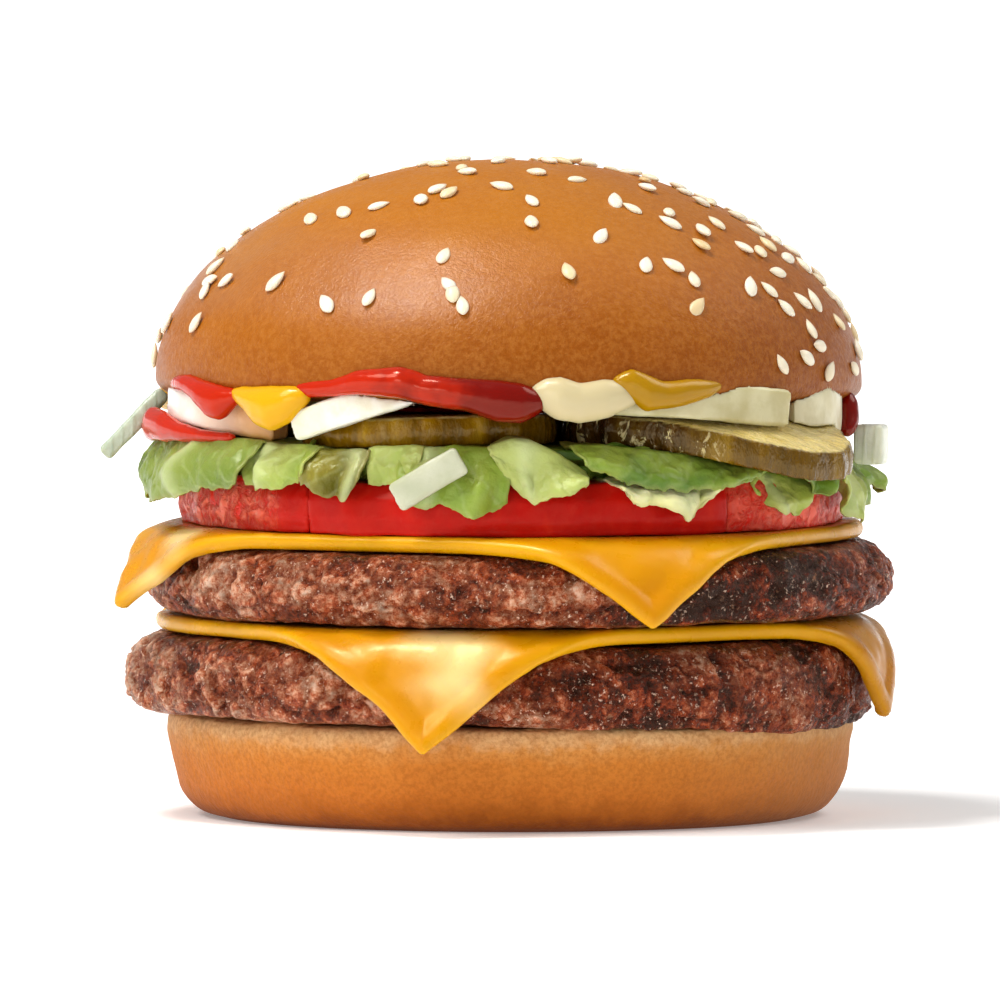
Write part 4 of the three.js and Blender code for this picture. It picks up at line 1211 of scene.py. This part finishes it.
# ---- Sauces: each a run of rounded lumps that melt into one body ----
# A lump: azimuth, distance from the axis, height over the level of the onions, and its half sizes
# along the rim, outwards and upwards.
RUNS = {
    "ketchup_left": [
        (-71.6, 50.4, 3.9, 1.2, 0.9, 0.6), (-67.5, 50.9, 4.2, 1.5, 1.2, 1),
        (-63.6, 51.2, 4.1, 1.7, 1.5, 1.1), (-59.2, 51.4, 3, 1.6, 1.7, 1.7),
        (-56, 51.4, 1.7, 1.5, 1.7, 2.4), (-54, 51.3, 1.35, 1.4, 1.6, 2.3),
        (-50.6, 50.8, 2.4, 1.2, 1.1, 0.9),
    ],
    "ketchup_smear": [
        (-86, 51.8, -2.1, 1, 1.2, 2.1), (-80, 52, -1.8, 1.6, 1.4, 2.3),
        (-74, 51.6, -2.3, 1.9, 1.3, 1.9), (-69, 51, -2.9, 2, 1.2, 1.2),
        (-62, 50.2, -3.4, 2.4, 1, 0.8), (-55, 49.6, -3.6, 2.2, 0.8, 0.6),
    ],
    "mustard_left": [
        (-50, 50.8, 2.8, 1, 0.9, 0.7), (-46.4, 51.2, 1.9, 1.6, 1.5, 1.6),
        (-43.4, 51.5, 1, 1.7, 1.9, 2.7), (-41, 51.6, 0.75, 1.7, 2.1, 3.1),
        (-38.3, 51.4, 1.2, 1.6, 1.9, 2.6), (-35.6, 50.8, 2.4, 1.2, 1.2, 1.1),
    ],
    "ketchup_middle": [
        (-35.4, 50.6, 3.4, 1.2, 1, 1), (-29, 50.9, 3.7, 2, 1.2, 1),
        (-24, 51.4, 4.5, 1.8, 1.6, 1.6), (-17.5, 51.8, 4.6, 2.2, 2, 2),
        (-13.6, 51.7, 3.5, 1.8, 1.9, 1.9), (-6.2, 51.6, 2.7, 2.6, 2.2, 2.2),
        (-1.3, 51.6, 1.85, 2.2, 2.4, 2.8), (2, 51.4, 1.5, 1.8, 2.2, 2.6),
        (4.6, 50.9, 1.7, 1.1, 1.5, 1.5),
    ],
    "ketchup_right": [
        (77, 50.4, 1.8, 1.1, 0.9, 0.9), (76.5, 50.7, 0.7, 1.5, 1.2, 1.4), (76, 50.8, -1, 1.6, 1.3, 1.5),
        (74, 51, -2.6, 1.3, 1, 0.9),
    ],
    "mayonnaise_middle": [
        (4.9, 50.6, 3, 1.1, 1.3, 1.3), (6.2, 50.9, 2.7, 1.3, 1.6, 2.2),
        (8.4, 51.3, 2.2, 1.6, 2, 2.9), (11.4, 51.3, 1.5, 2, 2.1, 2.6),
        (15.5, 51.4, 2.1, 1.9, 2.1, 2.7), (18, 51.2, 2.4, 1.4, 1.8, 2),
        (20.8, 50.8, 2.2, 1.2, 1.1, 0.7),
    ],
    "mustard_middle": [
        (18.2, 51.6, 4.5, 1, 1, 0.9), (20, 52, 4.2, 1.2, 1.4, 2),
        (22.3, 52.1, 3, 1.4, 1.7, 2.4), (25, 51.9, 2.6, 1.6, 1.6, 1.8),
        (28, 51.7, 2.8, 1.7, 1.5, 1.7), (30.7, 51.5, 3.2, 1.5, 1.4, 1.6),
        (33.6, 51.2, 3.5, 1.3, 1.1, 1.2), (36, 50.8, 3.9, 0.9, 0.8, 0.6),
    ],
    "ketchup_back": [
        (158, 49.6, 2, 2, 1.4, 1.1), (165, 50.6, 2.2, 3, 2, 1.9), (173, 50.8, 1.6, 3.2, 2.2, 2.4),
        (181, 50.6, 2.4, 3, 2, 1.7), (189, 50.6, 1.6, 2.8, 2, 2.1), (197, 49.6, 2.2, 2, 1.4, 1.1),
    ],
    "mustard_back": [
        (237, 49.8, 2.4, 2, 1.3, 1.1), (244, 50.6, 1.8, 2.8, 1.9, 2), (251, 50.8, 2.6, 2.8, 1.8, 1.5),
        (258, 50.4, 1.8, 2.4, 1.7, 1.7), (263, 49.6, 2.4, 1.6, 1.2, 1),
    ],
    "mayonnaise_side": [
        (102, 49.8, 2.2, 2, 1.3, 1.2), (109, 50.6, 1.6, 2.8, 2, 2.1), (116, 50.8, 2.2, 2.8, 1.9, 1.7),
        (123, 50, 2.2, 2.2, 1.4, 1.3),
    ],
}


def ball(rings=10, sides=16):
    points = []
    for i in range(1, rings):
        a = math.pi * i / rings
        for k in range(sides):
            b = TAU * k / sides
            points.append([math.sin(a) * math.cos(b), math.sin(a) * math.sin(b), -math.cos(a)])
    faces = grid_quads(rings - 1, sides, wrap=True).tolist()
    points += [[0, 0, -1], [0, 0, 1]]
    below, above = len(points) - 2, len(points) - 1
    for k in range(sides):
        after = (k + 1) % sides
        faces.append([below, after, k])
        faces.append([above, (rings - 2) * sides + k, (rings - 2) * sides + after])
    return np.array(points), faces


def sauce(node, paint, slot):
    unit, unit_faces = ball()
    stops = np.array(RUNS[node], float)
    places = np.linspace(0, len(stops) - 1, (len(stops) - 1) * 8 + 1)
    points, faces = [], []
    for k, place in enumerate(places):
        here = [np.interp(place, range(len(stops)), column) for column in stops.T]
        azimuth, radius, rise, wide, thick, high = here
        a = math.radians(azimuth)
        axes = np.array([[math.cos(a), math.sin(a), 0], [math.sin(a), -math.cos(a), 0], [0, 0, 1]])
        local = unit * np.array([wide, thick, high])
        points.append(local @ axes + around(radius, azimuth, ONION_Z + rise))
        faces += [[v + k * len(unit) for v in f] for f in unit_faces]
    raw = make(node + "_lumps", tipped(np.concatenate(points)), faces)
    obj = refined(raw, node + "_run", 0.32, 14)
    bpy.data.objects.remove(raw)
    p, n = points_of(obj), normals_of(obj)
    seed = len(node) * 5
    swell = octaves(p, 4.5, seed, 2) * 0.2 + 0.3
    move_to(obj, p + n * swell[:, None])
    return finish(obj, paint, slot, node)


def spread():
    rings = [(r, 0.0) for r in (8, 18, 26)] + [(30.2, 0), (30.9, 0.2), (31, 0.4), (30.6, 0.7)]
    rings += [(r, 0.8) for r in (26, 18, 8)]
    place = lambda p: tipped(p + np.array([AXIS[0], AXIS[1], ONION_Z]))
    obj = round_solid("ketchup_layer", rings, 120, uneven(0.06, 2.2), place)
    return finish(obj, KETCHUP, "ketchup", "ketchup_spread")


# ---- The studio ----
def softbox(name, direction, distance, size, power, colour=(1, 1, 1)):
    light = bpy.data.lights.new(name, "AREA")
    light.shape = "DISK"
    light.size = size
    light.energy = power
    light.color = colour
    obj = bpy.data.objects.new(name, light)
    target = Vector((0, 0, 0.045))
    toward = Vector(direction).normalized()
    obj.location = target + toward * distance
    obj.rotation_euler = (-toward).to_track_quat("-Z", "Y").to_euler()
    bpy.context.scene.collection.objects.link(obj)


def studio():
    world = bpy.data.worlds.new("studio")
    world.use_nodes = True
    background = world.node_tree.nodes["Background"]
    background.inputs["Color"].default_value = (1, 1, 1, 1)
    background.inputs["Strength"].default_value = 0.34
    bpy.context.scene.world = world
    softbox("key", (-0.6, -0.42, 0.8), 1.0, 0.5, 4.4, (1, 0.985, 0.95))
    softbox("front", (-0.5, -0.95, 0.26), 1.3, 0.34, 1.3, (1, 0.98, 0.95))
    softbox("top", (-0.31, -0.14, 0.94), 0.9, 0.22, 5.0, (1, 0.99, 0.97))
    softbox("side", (0.6, 0.2, 0.75), 1.1, 0.7, 3.4)
    rings = [(r, 0) for r in (0, 0.1, 0.3, 2, 8, 14)]
    rings += [(17, 0.1), (19, 0.5), (20, 1.2), (20.4, 2.2)]
    angles = np.arange(96) * TAU / 96
    points = [[r * math.cos(a), r * math.sin(a), z] for r, z in rings for a in angles]
    mesh = bpy.data.meshes.new("floor")
    mesh.from_pydata(points, [], grid_quads(len(rings), 96, wrap=True).tolist())
    mesh.polygons.foreach_set("use_smooth", [True] * len(mesh.polygons))
    floor = bpy.data.objects.new("floor", mesh)
    bpy.context.scene.collection.objects.link(floor)
    paint = Paint("floor_white", Roughness=0.9, Specular_IOR_Level=0.0, Emission_Color=(1, 1, 1, 1))
    paint.colour(paint.mix(paint.noise(300, 2), "#f7f6f5", "#fafafa"))
    away = paint.node("ShaderNodeVectorMath", operation="LENGTH")
    paint.feed(away.inputs[0], paint.place)
    glow = paint.span(away.outputs["Value"], 0.09, 0.9, 0.2, 1.0)
    paint.feed(paint.shader.inputs["Emission Strength"], glow)
    floor.data.materials.append(paint.material)
    bpy.context.scene.view_settings.view_transform = "Standard"
    bpy.context.scene.view_settings.look = "None"


PICTURE_WIDTH = 0.145  # metres across the picture at the burger


def camera():
    elevation = math.radians(3)
    distance = 4.0
    target = AXIS * MM + np.array([-0.00116, 0, 0.04557])
    data = bpy.data.cameras.new("camera")
    data.sensor_width = 36
    data.lens = data.sensor_width * distance / PICTURE_WIDTH
    data.clip_end = 200
    obj = bpy.data.objects.new("camera", data)
    back = np.array([0, -math.cos(elevation), math.sin(elevation)])
    obj.location = Vector(target + back * distance)
    obj.rotation_euler = (math.pi / 2 - elevation, 0, 0)
    bpy.context.scene.collection.objects.link(obj)
    bpy.context.scene.camera = obj


camera()
studio()

BEEF = beef_paint()
CHEESE = cheese_paint()
# the second colours of ketchup and mustard are their painted shade on the right side
KETCHUP = sauce_paint("ketchup", "#b92206", "#720502", (1, 0.55, 0.4, 1), 0.1, 1, (1, 0.1, 0.02), 0.16)
MUSTARD = sauce_paint("mustard", "#dca306", "#a87a00", (1, 0.85, 0.5, 1), 0.2, 1.5, (1, 0.5, 0.05), 0.22)
PALE_SPREAD = (1, 0.8, 0.5)  # how far red, green and blue light spreads inside the mayonnaise
MAYONNAISE = sauce_paint("mayonnaise", "#cbbb8c", "#ccbd92", (1, 0.95, 0.85, 1), 0.3, 1.6, PALE_SPREAD, 0.26)

heel()
for node in PATTIES:
    patty(node)
for node in SLICES:
    cheese(node)
tomato("tomato_left", -38, -31, 0.95, 0.05)
tomato("tomato_middle", 0, 1, 0.03, 0.03)
tomato("tomato_right", 30, 44, 0.25, 0.6)
shreds()
for spec in LEAVES:
    leaf(spec)
for node in PICKLES:
    pickle(node)
for node in sorted(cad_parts):
    if node.startswith("onion"):
        onion(node)
spread()
for node in RUNS:
    kind = node.split("_")[0]
    sauce(node, {"ketchup": KETCHUP, "mustard": MUSTARD, "mayonnaise": MAYONNAISE}[kind], kind)
crown()
seeds()

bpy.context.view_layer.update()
